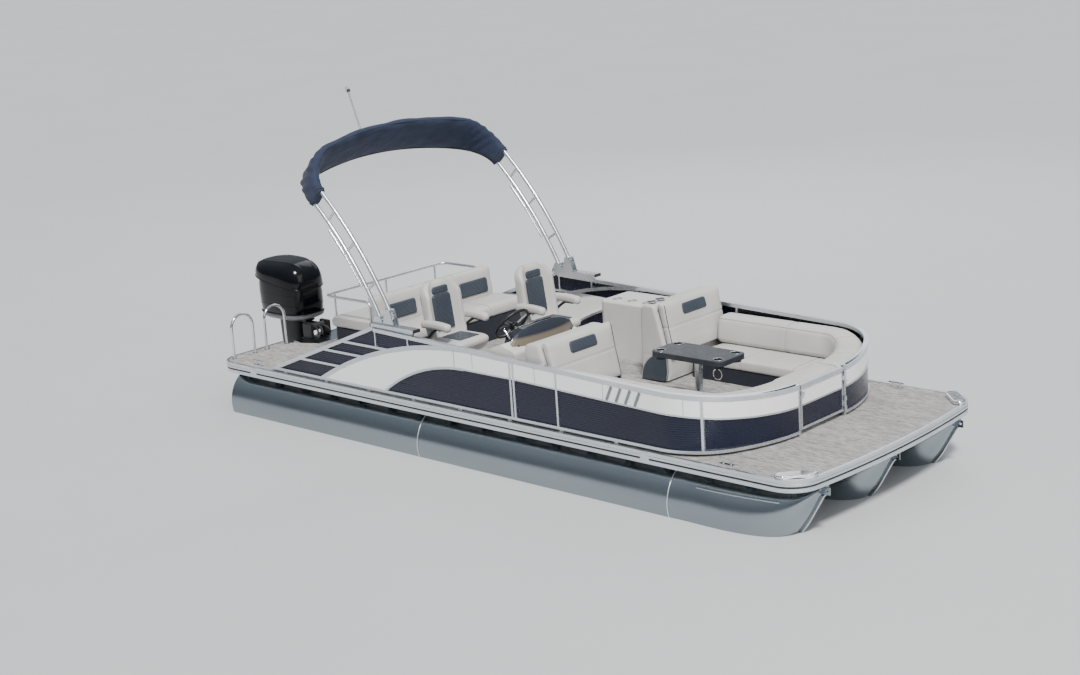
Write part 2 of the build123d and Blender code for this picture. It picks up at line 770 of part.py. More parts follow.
def add_gate_hinges():
    """Adds the fixed knuckles of the bow gate to the port fence frame."""
    for z in GATE_HINGES:
        for step in (-1, 1):
            middle = DECK_TOP + z + step * (HINGE_LENGTH + 1.5)
            with Locations((HINGE_X, HINGE_Y, middle)):
                Cylinder(HINGE_RADIUS, HINGE_LENGTH)
            half = HINGE_LENGTH / 2
            post = GATE_HALF + 2
            bar((GATE_X + 8, HINGE_X), (post, post + 20), (middle - half, middle + half))


def draw_lounge(outer, inner, start_x):
    """Draws the plan of the starboard bow lounge between two offsets inside the fence."""
    with BuildLine() as edge:
        near = plan_line(-outer, start_x)
        far = plan_line(-inner, start_x)
        Line(near[0], far[0])
        Line(near[1], far[1])
    make_face(edge.edges())


def make_bow_lounge():
    """Base, seat and back of the bow lounge on each side."""
    end_x = GATE_X - 175
    front = CHAISE_X + CHAISE_LENGTH
    seat_low = DECK_TOP + SEAT_TOP - SEAT_CUSHION
    lounge_in = LOUNGE_SIDE_Y - LOUNGE_DEPTH
    with BuildPart() as back:
        with BuildSketch(Plane.XY.offset(DECK_TOP + SEAT_TOP + 4)) as plan:
            draw_lounge(BACK_OUTER, BACK_OUTER + BACK_DEPTH, front + 6)
        extrude(amount=BACK_TOP - SEAT_TOP - 4)
        bar((GATE_X - 400, GATE_X + 50), (SEAM_Y, 0), (DECK_TOP, DECK_TOP + 600), Mode.SUBTRACT)
    keep(back, "bow_back_starboard")
    keep(mirrored(back), "bow_back_port")

    with BuildPart() as seat:
        with BuildSketch(Plane.XY.offset(seat_low)) as plan:
            draw_seat(front + 6, BACK_OUTER + 4, lounge_in)
        extrude(amount=SEAT_CUSHION)
    keep(seat, "bow_seat_starboard")
    keep(mirrored(seat), "bow_seat_port")

    with BuildPart() as base:
        with BuildSketch(Plane.XY.offset(DECK_TOP)) as plan:
            draw_seat(front + 6, BACK_OUTER + 30, lounge_in + 30)
        extrude(amount=SEAT_TOP - SEAT_CUSHION)
    keep(base, "bow_base_starboard")
    keep(mirrored(base), "bow_base_port")

    x = (GATE_X - BACK_OUTER - BACK_DEPTH, GATE_X - BACK_OUTER)
    with BuildPart() as filler:
        bar(x, (SEAM_Y + 3, -SEAM_Y - 3), (DECK_TOP + SEAT_TOP + 4, DECK_TOP + BACK_TOP))
    keep(filler, "bow_filler")


def draw_seat(start_x, outer, inner_y):
    """Draws the plan of the starboard seat: the fence's curve outside, straight inside."""
    with BuildLine() as edge:
        near = plan_line(-outer, start_x)
        start, end = Vector(near[0]), Vector(near[1])
        Polyline(end, (end.X - 60, -GATE_HALF - 30), (end.X - 360, -inner_y), (start_x, -inner_y), start)
    make_face(edge.edges())


def draw_side(points, radii):
    """Draws a closed outline seen from the side, with a radius at each corner."""
    with BuildLine() as edge:
        Polyline(*points, close=True)
    make_face(edge.edges())
    for point, radius in zip(points, radii):
        if radius:
            fillet(vertices().sort_by_distance(point)[0], radius)


def add_side_block(points, radii, y_high, width):
    """Adds a block with an outline seen from the side, running to starboard from y_high."""
    with BuildSketch(Plane(origin=(0, y_high, 0), x_dir=(1, 0, 0), z_dir=(0, -1, 0))) as side:
        draw_side(points, radii)
    extrude(side.sketch, amount=width)


def make_chaise():
    """The forward-facing back at the aft end of each bow lounge, with its cushion."""
    rear = CHAISE_X
    front = CHAISE_X + CHAISE_LENGTH
    top = DECK_TOP + CHAISE_TOP
    outer = -LOUNGE_SIDE_Y
    inner = -CHAISE_INNER_Y
    shell_points = [
        (rear, DECK_TOP),
        (front - 60, DECK_TOP),
        (front - 60, DECK_TOP + SEAT_TOP),
        (rear + 180, top),
        (rear + 10, top),
    ]
    with BuildPart() as shell:
        add_side_block(shell_points, [0, 0, 30, 40, 60], inner, inner - outer)
        fillet(shell.faces().sort_by(Axis.Y)[-1].edges().filter_by(Axis.Z, reverse=True).sort_by(Axis.Z)[1:], 12)
    keep(shell, "chaise_shell_starboard")
    keep(mirrored(shell), "chaise_shell_port")

    cushion_points = [
        (front - 58, DECK_TOP + SEAT_TOP + 4),
        (front + 2, DECK_TOP + SEAT_TOP + 4),
        (rear + 270, top + 30),
        (rear + 184, top + 30),
    ]
    with BuildPart() as cushion:
        add_side_block(cushion_points, [0, 20, 40, 30], inner - 12, inner - outer - 24)
    keep(cushion, "chaise_cushion_starboard")
    keep(mirrored(cushion), "chaise_cushion_port")


def make_table():
    """The cocktail table: a pedestal and a top that turns on it, with four cup wells."""
    under = DECK_TOP + TABLE_UP - TABLE_THICKNESS
    with BuildPart() as pedestal:
        with Locations((TABLE_X, TABLE_Y, DECK_TOP + 4)):
            Cylinder(110, 8)
        rod((TABLE_X, TABLE_Y, DECK_TOP), (TABLE_X, TABLE_Y, under - 17), 34)
    keep(pedestal, "table_pedestal")
    step_x = TABLE_LENGTH - 2 * TABLE_CUP_FROM_END
    step_y = TABLE_WIDTH - 2 * TABLE_CUP_FROM_SIDE
    with BuildPart() as top:
        x = (TABLE_X - TABLE_LENGTH / 2, TABLE_X + TABLE_LENGTH / 2)
        y = (TABLE_Y - TABLE_WIDTH / 2, TABLE_Y + TABLE_WIDTH / 2)
        bar(x, y, (under, DECK_TOP + TABLE_UP))
        fillet(top.edges().filter_by(Axis.Z), 70)
        fillet(top.faces().sort_by(Axis.Z)[-1].edges(), 8)
        with Locations((TABLE_X, TABLE_Y, DECK_TOP + TABLE_UP - CUP_DEPTH - 3)):
            with GridLocations(step_x, step_y, 2, 2):
                Cylinder(CUP_RADIUS + 3, CUP_DEPTH - 2, align=(Align.CENTER, Align.CENTER, Align.MIN))
        with Locations((TABLE_X, TABLE_Y, DECK_TOP + TABLE_UP - CUP_DEPTH)):
            with GridLocations(step_x, step_y, 2, 2):
                Cylinder(
                    CUP_RADIUS,
                    CUP_DEPTH + 1,
                    align=(Align.CENTER, Align.CENTER, Align.MIN),
                    mode=Mode.SUBTRACT,
                )
        with Locations((TABLE_X, TABLE_Y, under - 2)):
            Cylinder(90, 20)
    keep(top, "table_top")


def make_helm():
    """The helm console, its dash with the wheel's column, and the low screen."""
    width = LOUNGE_SIDE_Y + CONSOLE_INNER_Y
    console_points = [
        (120, DECK_TOP),
        (530, DECK_TOP),
        (500, DECK_TOP + 590),
        (330, DECK_TOP + 640),
        (40, DECK_TOP + 520),
    ]
    with BuildPart() as console:
        add_side_block(console_points, [0, 0, 40, 60, 35], CONSOLE_INNER_Y, width)
    keep(console, "helm_console")

    dash_points = [
        (62, DECK_TOP + 532),
        (334, DECK_TOP + 644),
        (420, DECK_TOP + 618),
        (392, DECK_TOP + 690),
        (240, DECK_TOP + 700),
        (90, DECK_TOP + 620),
    ]
    with BuildPart() as dash:
        add_side_block(dash_points, [0, 0, 0, 25, 40, 20], CONSOLE_INNER_Y - 30, DASH_WIDTH)
        add(console.part, mode=Mode.SUBTRACT)
    keep(dash, "helm_dash")

    with BuildPart() as screen:
        with BuildSketch(Plane.XY.offset(DECK_TOP + 560)) as plan:
            draw_screen(0)
        with BuildSketch(Plane.XY.offset(DECK_TOP + SCREEN_UP)) as top:
            draw_screen(-60)
        loft([plan.sketch, top.sketch])
        add(console.part, mode=Mode.SUBTRACT)
        add(dash.part, mode=Mode.SUBTRACT)
    keep(screen, "wind_screen")
    return console, dash


def draw_screen(shift):
    """Draws the curved screen's section at one height, moved along the boat."""
    middle_y = CONSOLE_INNER_Y - 10 - SCREEN_SPAN / 2
    half = SCREEN_SPAN / 2
    with BuildLine() as edge:
        ThreePointArc(
            (SCREEN_X - 70 + shift, middle_y - half),
            (SCREEN_X + shift, middle_y),
            (SCREEN_X - 70 + shift, middle_y + half),
        )
        ThreePointArc(
            (SCREEN_X - 78 + shift, middle_y + half),
            (SCREEN_X - 8 + shift, middle_y),
            (SCREEN_X - 78 + shift, middle_y - half),
        )
        Line((SCREEN_X - 70 + shift, middle_y + half), (SCREEN_X - 78 + shift, middle_y + half))
        Line((SCREEN_X - 70 + shift, middle_y - half), (SCREEN_X - 78 + shift, middle_y - half))
    make_face(edge.edges())


def wheel_plane():
    """The steering wheel's plane, facing aft and up."""
    tilt = radians(WHEEL_TILT)
    centre = (WHEEL_CENTRE[0], WHEEL_CENTRE[1], DECK_TOP + WHEEL_CENTRE[2])
    return Plane(origin=centre, x_dir=(0, 1, 0), z_dir=(-cos(tilt), 0, sin(tilt)))


def make_wheel(console, dash):
    """The steering wheel, and its column on the dash."""
    plane = wheel_plane()
    with BuildPart() as column:
        with BuildSketch(plane.offset(-48)) as section:
            Circle(28)
        extrude(amount=-150)
        add(console.part, mode=Mode.SUBTRACT)
        add(dash.part, mode=Mode.SUBTRACT)
    keep(column, "steering_column")
    with BuildPart() as wheel:
        with BuildSketch(Plane(origin=plane.origin, x_dir=plane.x_dir, z_dir=plane.y_dir)) as section:
            with Locations((WHEEL_RADIUS - 14, 0)):
                Circle(14)
        revolve(axis=Axis(plane.origin, plane.z_dir))
        with BuildSketch(plane.offset(-42)) as hub:
            Circle(48)
        extrude(hub.sketch, amount=44)
        for angle in (90, 210, 330):
            with BuildSketch(plane.offset(-8)) as spoke:
                with Locations(Location((0, 0, 0), (0, 0, angle))):
                    with Locations((WHEEL_RADIUS / 2, 0)):
                        Rectangle(WHEEL_RADIUS - 20, 26)
            extrude(spoke.sketch, amount=10)
    keep(wheel, "steering_wheel")


def make_chair(name, x, y):
    """A captain's chair: its pedestal, and its seat with a winged back and arms."""
    top = DECK_TOP + CHAIR_SEAT_TOP
    half = CHAIR_WIDTH / 2
    with BuildPart() as pedestal:
        with Locations((x, y, DECK_TOP + 6)):
            Cylinder(150, 12)
        rod((x, y, DECK_TOP), (x, y, top - 160), 40)
    keep(pedestal, name + "_pedestal")
    seat_points = [
        (x - 220, top - 140),
        (x + 170, top - 140),
        (x + 235, top - 70),
        (x + 225, top - 15),
        (x - 220, top - 25),
    ]
    back_points = [
        (x - 225, top - 110),
        (x - 130, top - 30),
        (x - 195, top + CHAIR_BACK),
        (x - 305, top + CHAIR_BACK),
        (x - 255, top + 40),
    ]
    arm_points = [
        (x - 225, top - 60),
        (x - 150, top - 60),
        (x - 140, top + 100),
        (x + 150, top + 110),
        (x + 160, top + 175),
        (x - 225, top + 170),
    ]
    with BuildPart() as chair:
        with Locations((x, y, top - 148)):
            Cylinder(110, 20)
        add_side_block(seat_points, [20, 60, 40, 30, 0], y + half - 10, CHAIR_WIDTH - 20)
        add_side_block(back_points, [10, 0, 45, 45, 0], y + half, CHAIR_WIDTH)
        for side in (-1, 1):
            add_side_block(arm_points, [10, 10, 50, 20, 20, 40], y + side * (half + 20) + 35, 70)
    keep(chair, name)


def make_port_console():
    """The console beside the companion chair, with three cup wells."""
    top = DECK_TOP + PORT_CONSOLE_TOP
    middle_x = (PORT_CONSOLE_START + PORT_CONSOLE_END) / 2 - 95
    with BuildPart() as console:
        x = (PORT_CONSOLE_START, PORT_CONSOLE_END)
        bar(x, (PORT_CONSOLE_INNER_Y, LOUNGE_SIDE_Y), (DECK_TOP, top))
        fillet(console.edges().filter_by(Axis.Z), 60)
        fillet(console.faces().sort_by(Axis.Z)[-1].edges(), 20)
        with Locations((middle_x, PORT_CONSOLE_INNER_Y + 120, top - CUP_DEPTH)):
            with GridLocations(180, 120, 3, 1):
                Cylinder(
                    CUP_RADIUS,
                    CUP_DEPTH + 20,
                    align=(Align.CENTER, Align.CENTER, Align.MIN),
                    mode=Mode.SUBTRACT,
                )
    keep(console, "port_console")


def make_aft_lounge():
    """The bench across the stern, with a sun pad behind it and a rail round that."""
    outer = LOUNGE_SIDE_Y
    seat_low = DECK_TOP + SEAT_TOP
    width = outer - AFT_INNER_Y
    back_aft = AFT_BACK_X - 180
    with BuildPart() as base:
        bar((AFT_END_X + 30, AFT_SEAT_X - 30), (AFT_INNER_Y + 30, outer - 10), (DECK_TOP, seat_low))
        fillet(base.edges().filter_by(Axis.Z), 40)
    keep(base, "aft_base")
    seat_points = [
        (AFT_BACK_X + 4, seat_low + 1),
        (AFT_SEAT_X, seat_low + 1),
        (AFT_SEAT_X, seat_low + 120),
        (AFT_BACK_X + 4, seat_low + 110),
    ]
    with BuildPart() as seat:
        add_side_block(seat_points, [0, 15, 45, 0], outer, width)
    keep(seat, "aft_seat")
    back_points = [
        (back_aft, seat_low + 1),
        (AFT_BACK_X, seat_low + 1),
        (AFT_BACK_X - 50, DECK_TOP + AFT_TOP),
        (back_aft, DECK_TOP + AFT_TOP),
    ]
    with BuildPart() as back:
        add_side_block(back_points, [0, 0, 40, 40], outer, width)
    keep(back, "aft_back")
    pad_points = [
        (AFT_END_X, seat_low + 1),
        (back_aft - 4, seat_low + 1),
        (back_aft - 4, seat_low + 120),
        (AFT_END_X, seat_low + 120),
    ]
    with BuildPart() as pad:
        add_side_block(pad_points, [15, 0, 0, 45], outer, width)
    keep(pad, "sun_pad")

    low = seat_low - 140
    high = DECK_TOP + AFT_RAIL_UP
    y = (AFT_INNER_Y - 20, outer + 14)
    aft = AFT_END_X - 20
    with BuildPart() as rail:
        points = [
            (AFT_BACK_X - 100, y[0], low),
            (AFT_BACK_X - 100, y[0], high),
            (aft, y[0], high),
            (aft, y[1], high),
            (AFT_BACK_X - 250, y[1], high),
            (AFT_BACK_X - 250, y[1], DECK_TOP),
        ]
        bent_tube(points, [60, 90, 90, 60], AFT_RAIL_RADIUS)
        for place_y in (y[0] + 130, (y[0] + y[1]) / 2, y[1] - 130):
            rod((aft, place_y, DECK_TOP), (aft, place_y, high), 11)
    keep(rail, "aft_rail")


def make_stern_fittings():
    """Boarding hoops, cleats and corner fittings."""
    x = STERN_X + HOOP_STERN_GAP
    with BuildPart() as hoops:
        for y in HOOP_PLACES:
            points = [
                (x, y, DECK_TOP),
                (x, y, DECK_TOP + HOOP_HEIGHT),
                (x, y + HOOP_WIDTH, DECK_TOP + HOOP_HEIGHT),
                (x, y + HOOP_WIDTH, DECK_TOP),
            ]
            bent_tube(points, [HOOP_WIDTH * 0.49, HOOP_WIDTH * 0.49], HOOP_RADIUS)
            for foot in (y, y + HOOP_WIDTH):
                with Locations((x, foot, DECK_TOP + 4)):
                    Cylinder(HOOP_RADIUS + 16, 8)
    keep(hoops, "stern_hoops")
    with BuildPart() as cleats:
        for x in (STERN_X + CLEAT_STERN_GAP, BOW_X - CLEAT_BOW_GAP):
            for side in (-1, 1):
                y = side * (HALF_BEAM - CLEAT_INSET)
                with Locations((x, y, DECK_TOP + 6)):
                    Box(130, 34, 12)
                    with GridLocations(70, 1, 2, 1):
                        Cylinder(9, 50, align=(Align.CENTER, Align.CENTER, Align.MIN))
                rod((x - 75, y, DECK_TOP + 50), (x + 75, y, DECK_TOP + 50), 9)
    keep(cleats, "cleats")
    with BuildPart() as corners:
        for side in (-1, 1):
            with BuildSketch(Plane.XY.offset(DECK_TOP + RUB_LIP)) as plan:
                place = (BOW_X - CORNER_SETBACK, side * (HALF_BEAM - CORNER_INSET), 0)
                with Locations(Location(place, (0, 0, -side * 45))):
                    SlotOverall(330, 110)
            extrude(plan.sketch, amount=26)
        fillet(corners.faces().filter_by(Axis.Z).sort_by(Axis.Z)[-2:].edges(), 12)
    keep(corners, "corner_fittings")


def arch_point(angle, forward, y):
    """A point of the curved legs: the angle turned from the foot, and the step forward."""
    lean = radians(ARCH_FOOT_LEAN + angle)
    foot = radians(ARCH_FOOT_LEAN)
    reach = ARCH_RADIUS + forward
    x = ARCH_PIVOT_X - ARCH_RADIUS * cos(foot) + reach * cos(lean)
    z = DECK_TOP + ARCH_PIVOT_UP - ARCH_RADIUS * sin(foot) + reach * sin(lean)
    return Vector(x, y, z)


def crown_plane(forward):
    """The plane of a hoop's crosspiece, with its origin between the legs' tops."""
    lean = radians(ARCH_FOOT_LEAN + ARCH_TURN)
    return Plane(origin=arch_point(ARCH_TURN, forward, 0), x_dir=(0, 1, 0), z_dir=(cos(lean), 0, sin(lean)))


def crown_line():
    """Adds a hoop's crosspiece in its own plane, from the top of one leg to the other."""
    turn = radians(ARCH_SHOULDER_ANGLE)
    side = ARCH_Y - ARCH_SHOULDER_RADIUS * (1 - cos(turn))
    up = ARCH_SHOULDER_RADIUS * sin(turn)
    crown = up + side / cos(turn) * (1 - sin(turn))
    JernArc((-ARCH_Y, 0), (0, 1), ARCH_SHOULDER_RADIUS, -ARCH_SHOULDER_ANGLE)
    ThreePointArc((-side, up), (0, crown), (side, up))
    JernArc((ARCH_Y, 0), (0, 1), ARCH_SHOULDER_RADIUS, ARCH_SHOULDER_ANGLE)


def add_leg(forward, y):
    """Adds one curved leg of a hoop."""
    start = arch_point(0, forward, y)
    with BuildLine() as path:
        ThreePointArc(start, arch_point(ARCH_TURN / 2, forward, y), arch_point(ARCH_TURN, forward, y))
    lean = radians(ARCH_FOOT_LEAN)
    with BuildSketch(Plane(origin=start, x_dir=(0, 1, 0), z_dir=(-sin(lean), 0, cos(lean)))) as section:
        Circle(ARCH_TUBE_RADIUS)
    sweep(section.sketch, path=path.wires()[0])


def add_crown(forward, draw_section):
    """Adds a crosspiece with a section drawn across its starboard end."""
    plane = crown_plane(forward)
    with BuildLine(plane) as path:
        crown_line()
    start = plane.from_local_coords(Vector(-ARCH_Y, 0, 0))
    with BuildSketch(Plane(origin=start, x_dir=plane.x_dir, z_dir=plane.y_dir)) as section:
        draw_section()
    sweep(section.sketch, path=path.wires()[0])


def draw_tube():
    Circle(ARCH_TUBE_RADIUS)


def draw_canvas():
    RectangleRounded(CANVAS_DEPTH, CANVAS_WIDTH, CANVAS_DEPTH * 0.4)


def make_arch():
    """The arch: two curved hoops tied together, the folded canvas and the light mast."""
    with BuildPart() as frame:
        for forward in (0, ARCH_HOOP_GAP):
            add_crown(forward, draw_tube)
            for side in (-1, 1):
                add_leg(forward, side * ARCH_Y)
        for side in (-1, 1):
            y = side * ARCH_Y
            for angle in ARCH_TIES:
                rod(tuple(arch_point(angle, 0, y)), tuple(arch_point(angle, ARCH_HOOP_GAP, y)), 12)
            for forward in (0, ARCH_HOOP_GAP):
                place = arch_point(0, forward, y)
                with Locations(Location(tuple(place), (90, 0, 0))):
                    Cylinder(ARCH_TUBE_RADIUS + 6, 46)
    keep(frame, "arch_frame")

    with BuildPart() as struts:
        for side in (-1, 1):
            y = side * ARCH_Y
            top = arch_point(ARCH_TURN - STRUT_TOP, -STRUT_GAP, y)
            joint = arch_point(ARCH_TURN - STRUT_JOINT, -STRUT_GAP, y)
            foot = arch_point(ARCH_TURN - STRUT_FOOT, -STRUT_GAP, y)
            rod(tuple(top), tuple(joint), 14)
            rod(tuple(joint), tuple(foot), 9)
            near = arch_point(ARCH_TURN - STRUT_FOOT + 0.7, -STRUT_GAP, y)
            rod(tuple(near), tuple(foot), 13)
            for angle in (STRUT_TOP + 0.3, STRUT_JOINT - 0.3):
                start = arch_point(ARCH_TURN - angle, -STRUT_GAP, y)
                end = arch_point(ARCH_TURN - angle, 0, y)
                rod(tuple(start), tuple(end), 11)
        add(frame.part, mode=Mode.SUBTRACT)
    keep(struts, "arch_struts")

    with BuildPart() as canvas:
        add_crown(ARCH_HOOP_GAP / 2, draw_canvas)
        add(frame.part, mode=Mode.SUBTRACT)
    keep(canvas, "arch_canvas")

    top = crown_plane(0).from_local_coords(Vector(MAST_Y, ARCH_SHOULDER_RADIUS + 120, 0))
    lean = radians(20)
    with BuildPart() as mast:
        end = (top.X - MAST_LENGTH * sin(lean), MAST_Y, top.Z + MAST_LENGTH * cos(lean))
        rod(tuple(top), end, 9)
        with Locations(end):
            Cylinder(22, 46)
        add(canvas.part, mode=Mode.SUBTRACT)
        add(frame.part, mode=Mode.SUBTRACT)
    keep(mast, "light_mast")


def draw_bracket(middle, low, high):
    """Draws a bracket's cheek, seen from the side: wide at its foot, narrow at its top."""
    with BuildLine() as edge:
        Polyline((middle - 70, low), (middle + 70, low), (middle + 26, high), (middle - 26, high), close=True)
    make_face(edge.edges())


def draw_web(high):
    """Draws the web between the sloping fence rail and the level arch rail."""
    aft = LOUVRE_TOP_X + 70
    with BuildLine() as edge:
        Polyline(
            (aft, DECK_TOP + rail_top(aft) + 1),
            (SLIDE_FORE_X - 40, DECK_TOP + rail_top(SLIDE_FORE_X - 40) + 1),
            (SLIDE_FORE_X - 40, high),
            (aft, high),
            close=True,
        )
    make_face(edge.edges())


def make_arch_mounts():
    """The rail on each fence that carries the arch, with a pin bracket and a foot bracket."""
    up = DECK_TOP + rail_top(ARCH_PIVOT_X)
    pivot_z = DECK_TOP + ARCH_PIVOT_UP
    foot = arch_point(0, ARCH_HOOP_GAP, 0)
    with BuildPart() as mounts:
        for side in (-1, 1):
            y = side * (ARCH_Y + FENCE_Y) / 2
            bar((SLIDE_AFT_X, SLIDE_FORE_X), (y - 42, y + 42), (up + 18, up + 46))
            with BuildSketch(Plane(origin=(0, y + 14, 0), x_dir=(1, 0, 0), z_dir=(0, -1, 0))) as web:
                draw_web(up + 20)
            extrude(web.sketch, amount=28)
            for middle, high in ((ARCH_PIVOT_X, pivot_z + 22), (foot.X, foot.Z + 24)):
                for cheek in (-1, 1):
                    face = side * ARCH_Y + cheek * 30 + 4
                    with BuildSketch(Plane(origin=(0, face, 0), x_dir=(1, 0, 0), z_dir=(0, -1, 0))) as plate:
                        draw_bracket(middle, up + 44, high)
                    extrude(plate.sketch, amount=8)
    keep(mounts, "arch_mounts")


def make_motor_pod():
    """The pod that carries the motor behind the centre tube."""
    points = [
        (CENTRE_STERN_X - 2, TUBE_TOP),
        (CENTRE_STERN_X - 2, KEEL_Z + 60),
        (TRANSOM_X, KEEL_Z + 140),
        (TRANSOM_X, DECK_UNDER - 10),
        (TRANSOM_X + 60, DECK_UNDER - 10),
        (STERN_X + NOTCH_DEPTH - 30, TUBE_TOP),
    ]
    with BuildPart() as pod:
        add_side_block(points, [0, 60, 60, 10, 10, 0], POD_WIDTH / 2, POD_WIDTH)
    keep(pod, "motor_pod")


def make_motor_bracket():
    """The clamp on the pod, and the swivel bracket that tilts on it."""
    plate_low = DECK_UNDER - 300
    with BuildPart() as clamp:
        for side in (-1, 1):
            y = side * 115
            bar((TRANSOM_X - 30, TRANSOM_X), (y - 40, y + 40), (plate_low, DECK_UNDER - 10))
            bar((TRANSOM_X - 30, TRANSOM_X), (y - 18, y + 18), (DECK_UNDER - 60, TILT_Z + 45))
            bar((TRANSOM_X - 30, TRANSOM_X + 100), (y - 18, y + 18), (DECK_UNDER - 10, TILT_Z + 45))
            with Locations(Location((TILT_X, y, TILT_Z), (90, 0, 0))):
                Cylinder(TILT_PIN + PIN_GAP, 60, mode=Mode.SUBTRACT)
    keep(clamp, "motor_clamp")

    with BuildPart() as swivel:
        with Locations(Location((TILT_X, 0, TILT_Z), (90, 0, 0))):
            Cylinder(TILT_PIN, 270)
            Cylinder(40, 170)
        bar((STEER_X, TILT_X), (-40, 40), (TILT_Z - 36, TILT_Z + 36))
        rod((STEER_X, 0, plate_low), (STEER_X, 0, TILT_Z + 36), 50)
        with Locations((STEER_X, 0, (plate_low + TILT_Z) / 2)):
            Cylinder(STEER_PIN + PIN_GAP, 900, mode=Mode.SUBTRACT)
    keep(swivel, "motor_swivel")


def make_motor_leg():
    """The leg: king pin, midsection, plate over the propeller, gearcase and skeg."""
    plate_low = DECK_UNDER - 300
    cowl_base = DECK_TOP + COWL_BASE_UP
    with BuildPart() as leg:
        drawn = []
        for up, front, rear, half in LEG_SECTIONS:
            with BuildSketch(Plane.XY.offset(up)) as section:
                with Locations((COWL_X + (front + rear) / 2, 0)):
                    Ellipse((front - rear) / 2, half)
            drawn.append(section.sketch)
        loft(drawn, ruled=True)
        rod((STEER_X, 0, plate_low - 40), (STEER_X, 0, TILT_Z + 70), STEER_PIN)
        bar((COWL_X, STEER_X + 40), (-60, 60), (TILT_Z + 42, cowl_base))
        bar((COWL_X, STEER_X + 40), (-60, 60), (plate_low - 45, plate_low - 8))
        with BuildSketch(Plane.XY.offset(PROP_Z + PLATE_UP)) as plate:
            with Locations((COWL_X - 60, 0)):
                SlotOverall(560, 240)
        extrude(plate.sketch, amount=14)
        with BuildSketch(Plane(origin=(0, 8, 0), x_dir=(1, 0, 0), z_dir=(0, -1, 0))) as skeg:
            with BuildLine() as edge:
                Polyline(
                    (COWL_X + 130, PROP_Z - 30),
                    (COWL_X - 10, PROP_Z - 230),
                    (COWL_X - 80, PROP_Z - 230),
                    (COWL_X - 90, PROP_Z - 30),
                    close=True,
                )
            make_face(edge.edges())
        extrude(skeg.sketch, amount=16)
        with BuildSketch(Plane(origin=(0, 0, PROP_Z), x_dir=(1, 0, 0), z_dir=(0, -1, 0))) as torpedo:
            with BuildLine() as edge:
                Polyline(
                    (COWL_X + 250, 0),
                    (PROP_X + 60, 0),
                    (PROP_X + 60, 56),
                    (COWL_X + 60, 68),
                    (COWL_X + 150, 60),
                    (COWL_X + 205, 44),
                    (COWL_X + 238, 24),
                    (COWL_X + 250, 8),
                    close=True,
                )
            make_face(edge.edges())
        revolve(torpedo.sketch, axis=Axis((0, 0, PROP_Z), (1, 0, 0)))
    keep(leg, "motor_leg")


def add_cowl_loft(sections):
    """Adds a loft through the cowl's sections."""
    drawn = []
    for up, length, width, shift in sections:
        with BuildSketch(Plane.XY.offset(DECK_TOP + up)) as section:
            with Locations((COWL_X + shift, 0)):
                RectangleRounded(length, width, width * 0.42)
        drawn.append(section.sketch)
    loft(drawn, ruled=True)


def make_cowl():
    """The motor's cowl: a body under a domed hood with a lip, on a lower pan."""
    rear = COWL_X - COWL_LENGTH
    front = COWL_X + COWL_LENGTH
    lip = [
        (rear, DECK_TOP + HOOD_LIP_REAR),
        (front, DECK_TOP + HOOD_LIP_FRONT),
        (front, DECK_TOP + COWL_TOP_UP + 60),
        (rear, DECK_TOP + COWL_TOP_UP + 60),
    ]
    with BuildPart() as hood:
        add_cowl_loft(HOOD_SECTIONS)
        with BuildSketch(Plane(origin=(0, COWL_WIDTH, 0), x_dir=(1, 0, 0), z_dir=(0, -1, 0))) as side:
            draw_side(lip, [0, 0, 0, 0])
        extrude(side.sketch, amount=2 * COWL_WIDTH, mode=Mode.INTERSECT)
    with BuildPart() as cowl:
        add_cowl_loft(BODY_SECTIONS)
        add(hood.part)
    keep(cowl, "motor_cowl")
    with BuildPart() as pan:
        add_cowl_loft(PAN_SECTIONS)
    keep(pan, "motor_pan")


def make_propeller():
    """The propeller: a hub with raked, pitched blades."""
    with BuildPart() as prop:
        rod((PROP_X + 54, 0, PROP_Z), (PROP_X - 110, 0, PROP_Z), 55)
        for turn in range(BLADE_COUNT):
            blade = Location((PROP_X - 30, 0, PROP_Z), (360 / BLADE_COUNT * turn, 0, 0))
            pitched = blade * Location((0, 0, 0), (0, 0, BLADE_PITCH))
            with BuildSketch(Plane(pitched * Location((0, 0, 0), (0, 90, 0)))) as outline:
                with Locations((-(PROP_RADIUS - 72), 0)):
                    Ellipse(70, 56)
            extrude(outline.sketch, amount=5, both=True)
    keep(prop, "propeller")


def make_outboard():
    """Makes the motor, from its pod to its propeller."""
    make_motor_pod()
    make_motor_bracket()
    make_motor_leg()
    make_cowl()
    make_propeller()


# Leg sections: height, front and rear from the cowl's middle, half width
LEG_SECTIONS = [
    (DECK_TOP + COWL_BASE_UP, 150, -190, 95),
    (80, 146, -180, 68),
    (-140, 128, -124, 46),
    (PROP_Z - 4, 108, -76, 34),
]

# Cowl sections: height above the deck, length, width, shift forward
PAN_SECTIONS = [
    (COWL_BASE_UP, 560, 360, 10),
    (COWL_BASE_UP + 28, 690, 440, 10),
    (COWL_BASE_UP + 62, 714, 456, 10),
]
BODY_SECTIONS = [
    (COWL_BASE_UP + 62.3, 700, 444, 10),
    (COWL_BASE_UP + 270, 724, 462, 6),
    (COWL_BASE_UP + 420, 690, 440, 0),
]
HOOD_SECTIONS = [
    (380, COWL_LENGTH - 20, COWL_WIDTH - 14, 4),
    (480, COWL_LENGTH, COWL_WIDTH, -4),
    (570, COWL_LENGTH - 30, COWL_WIDTH - 20, -14),
    (650, COWL_LENGTH - 110, COWL_WIDTH - 70, -26),
    (705, COWL_LENGTH - 230, COWL_WIDTH - 150, -34),
    (COWL_TOP_UP, COWL_LENGTH - 420, COWL_WIDTH - 280, -40),
]


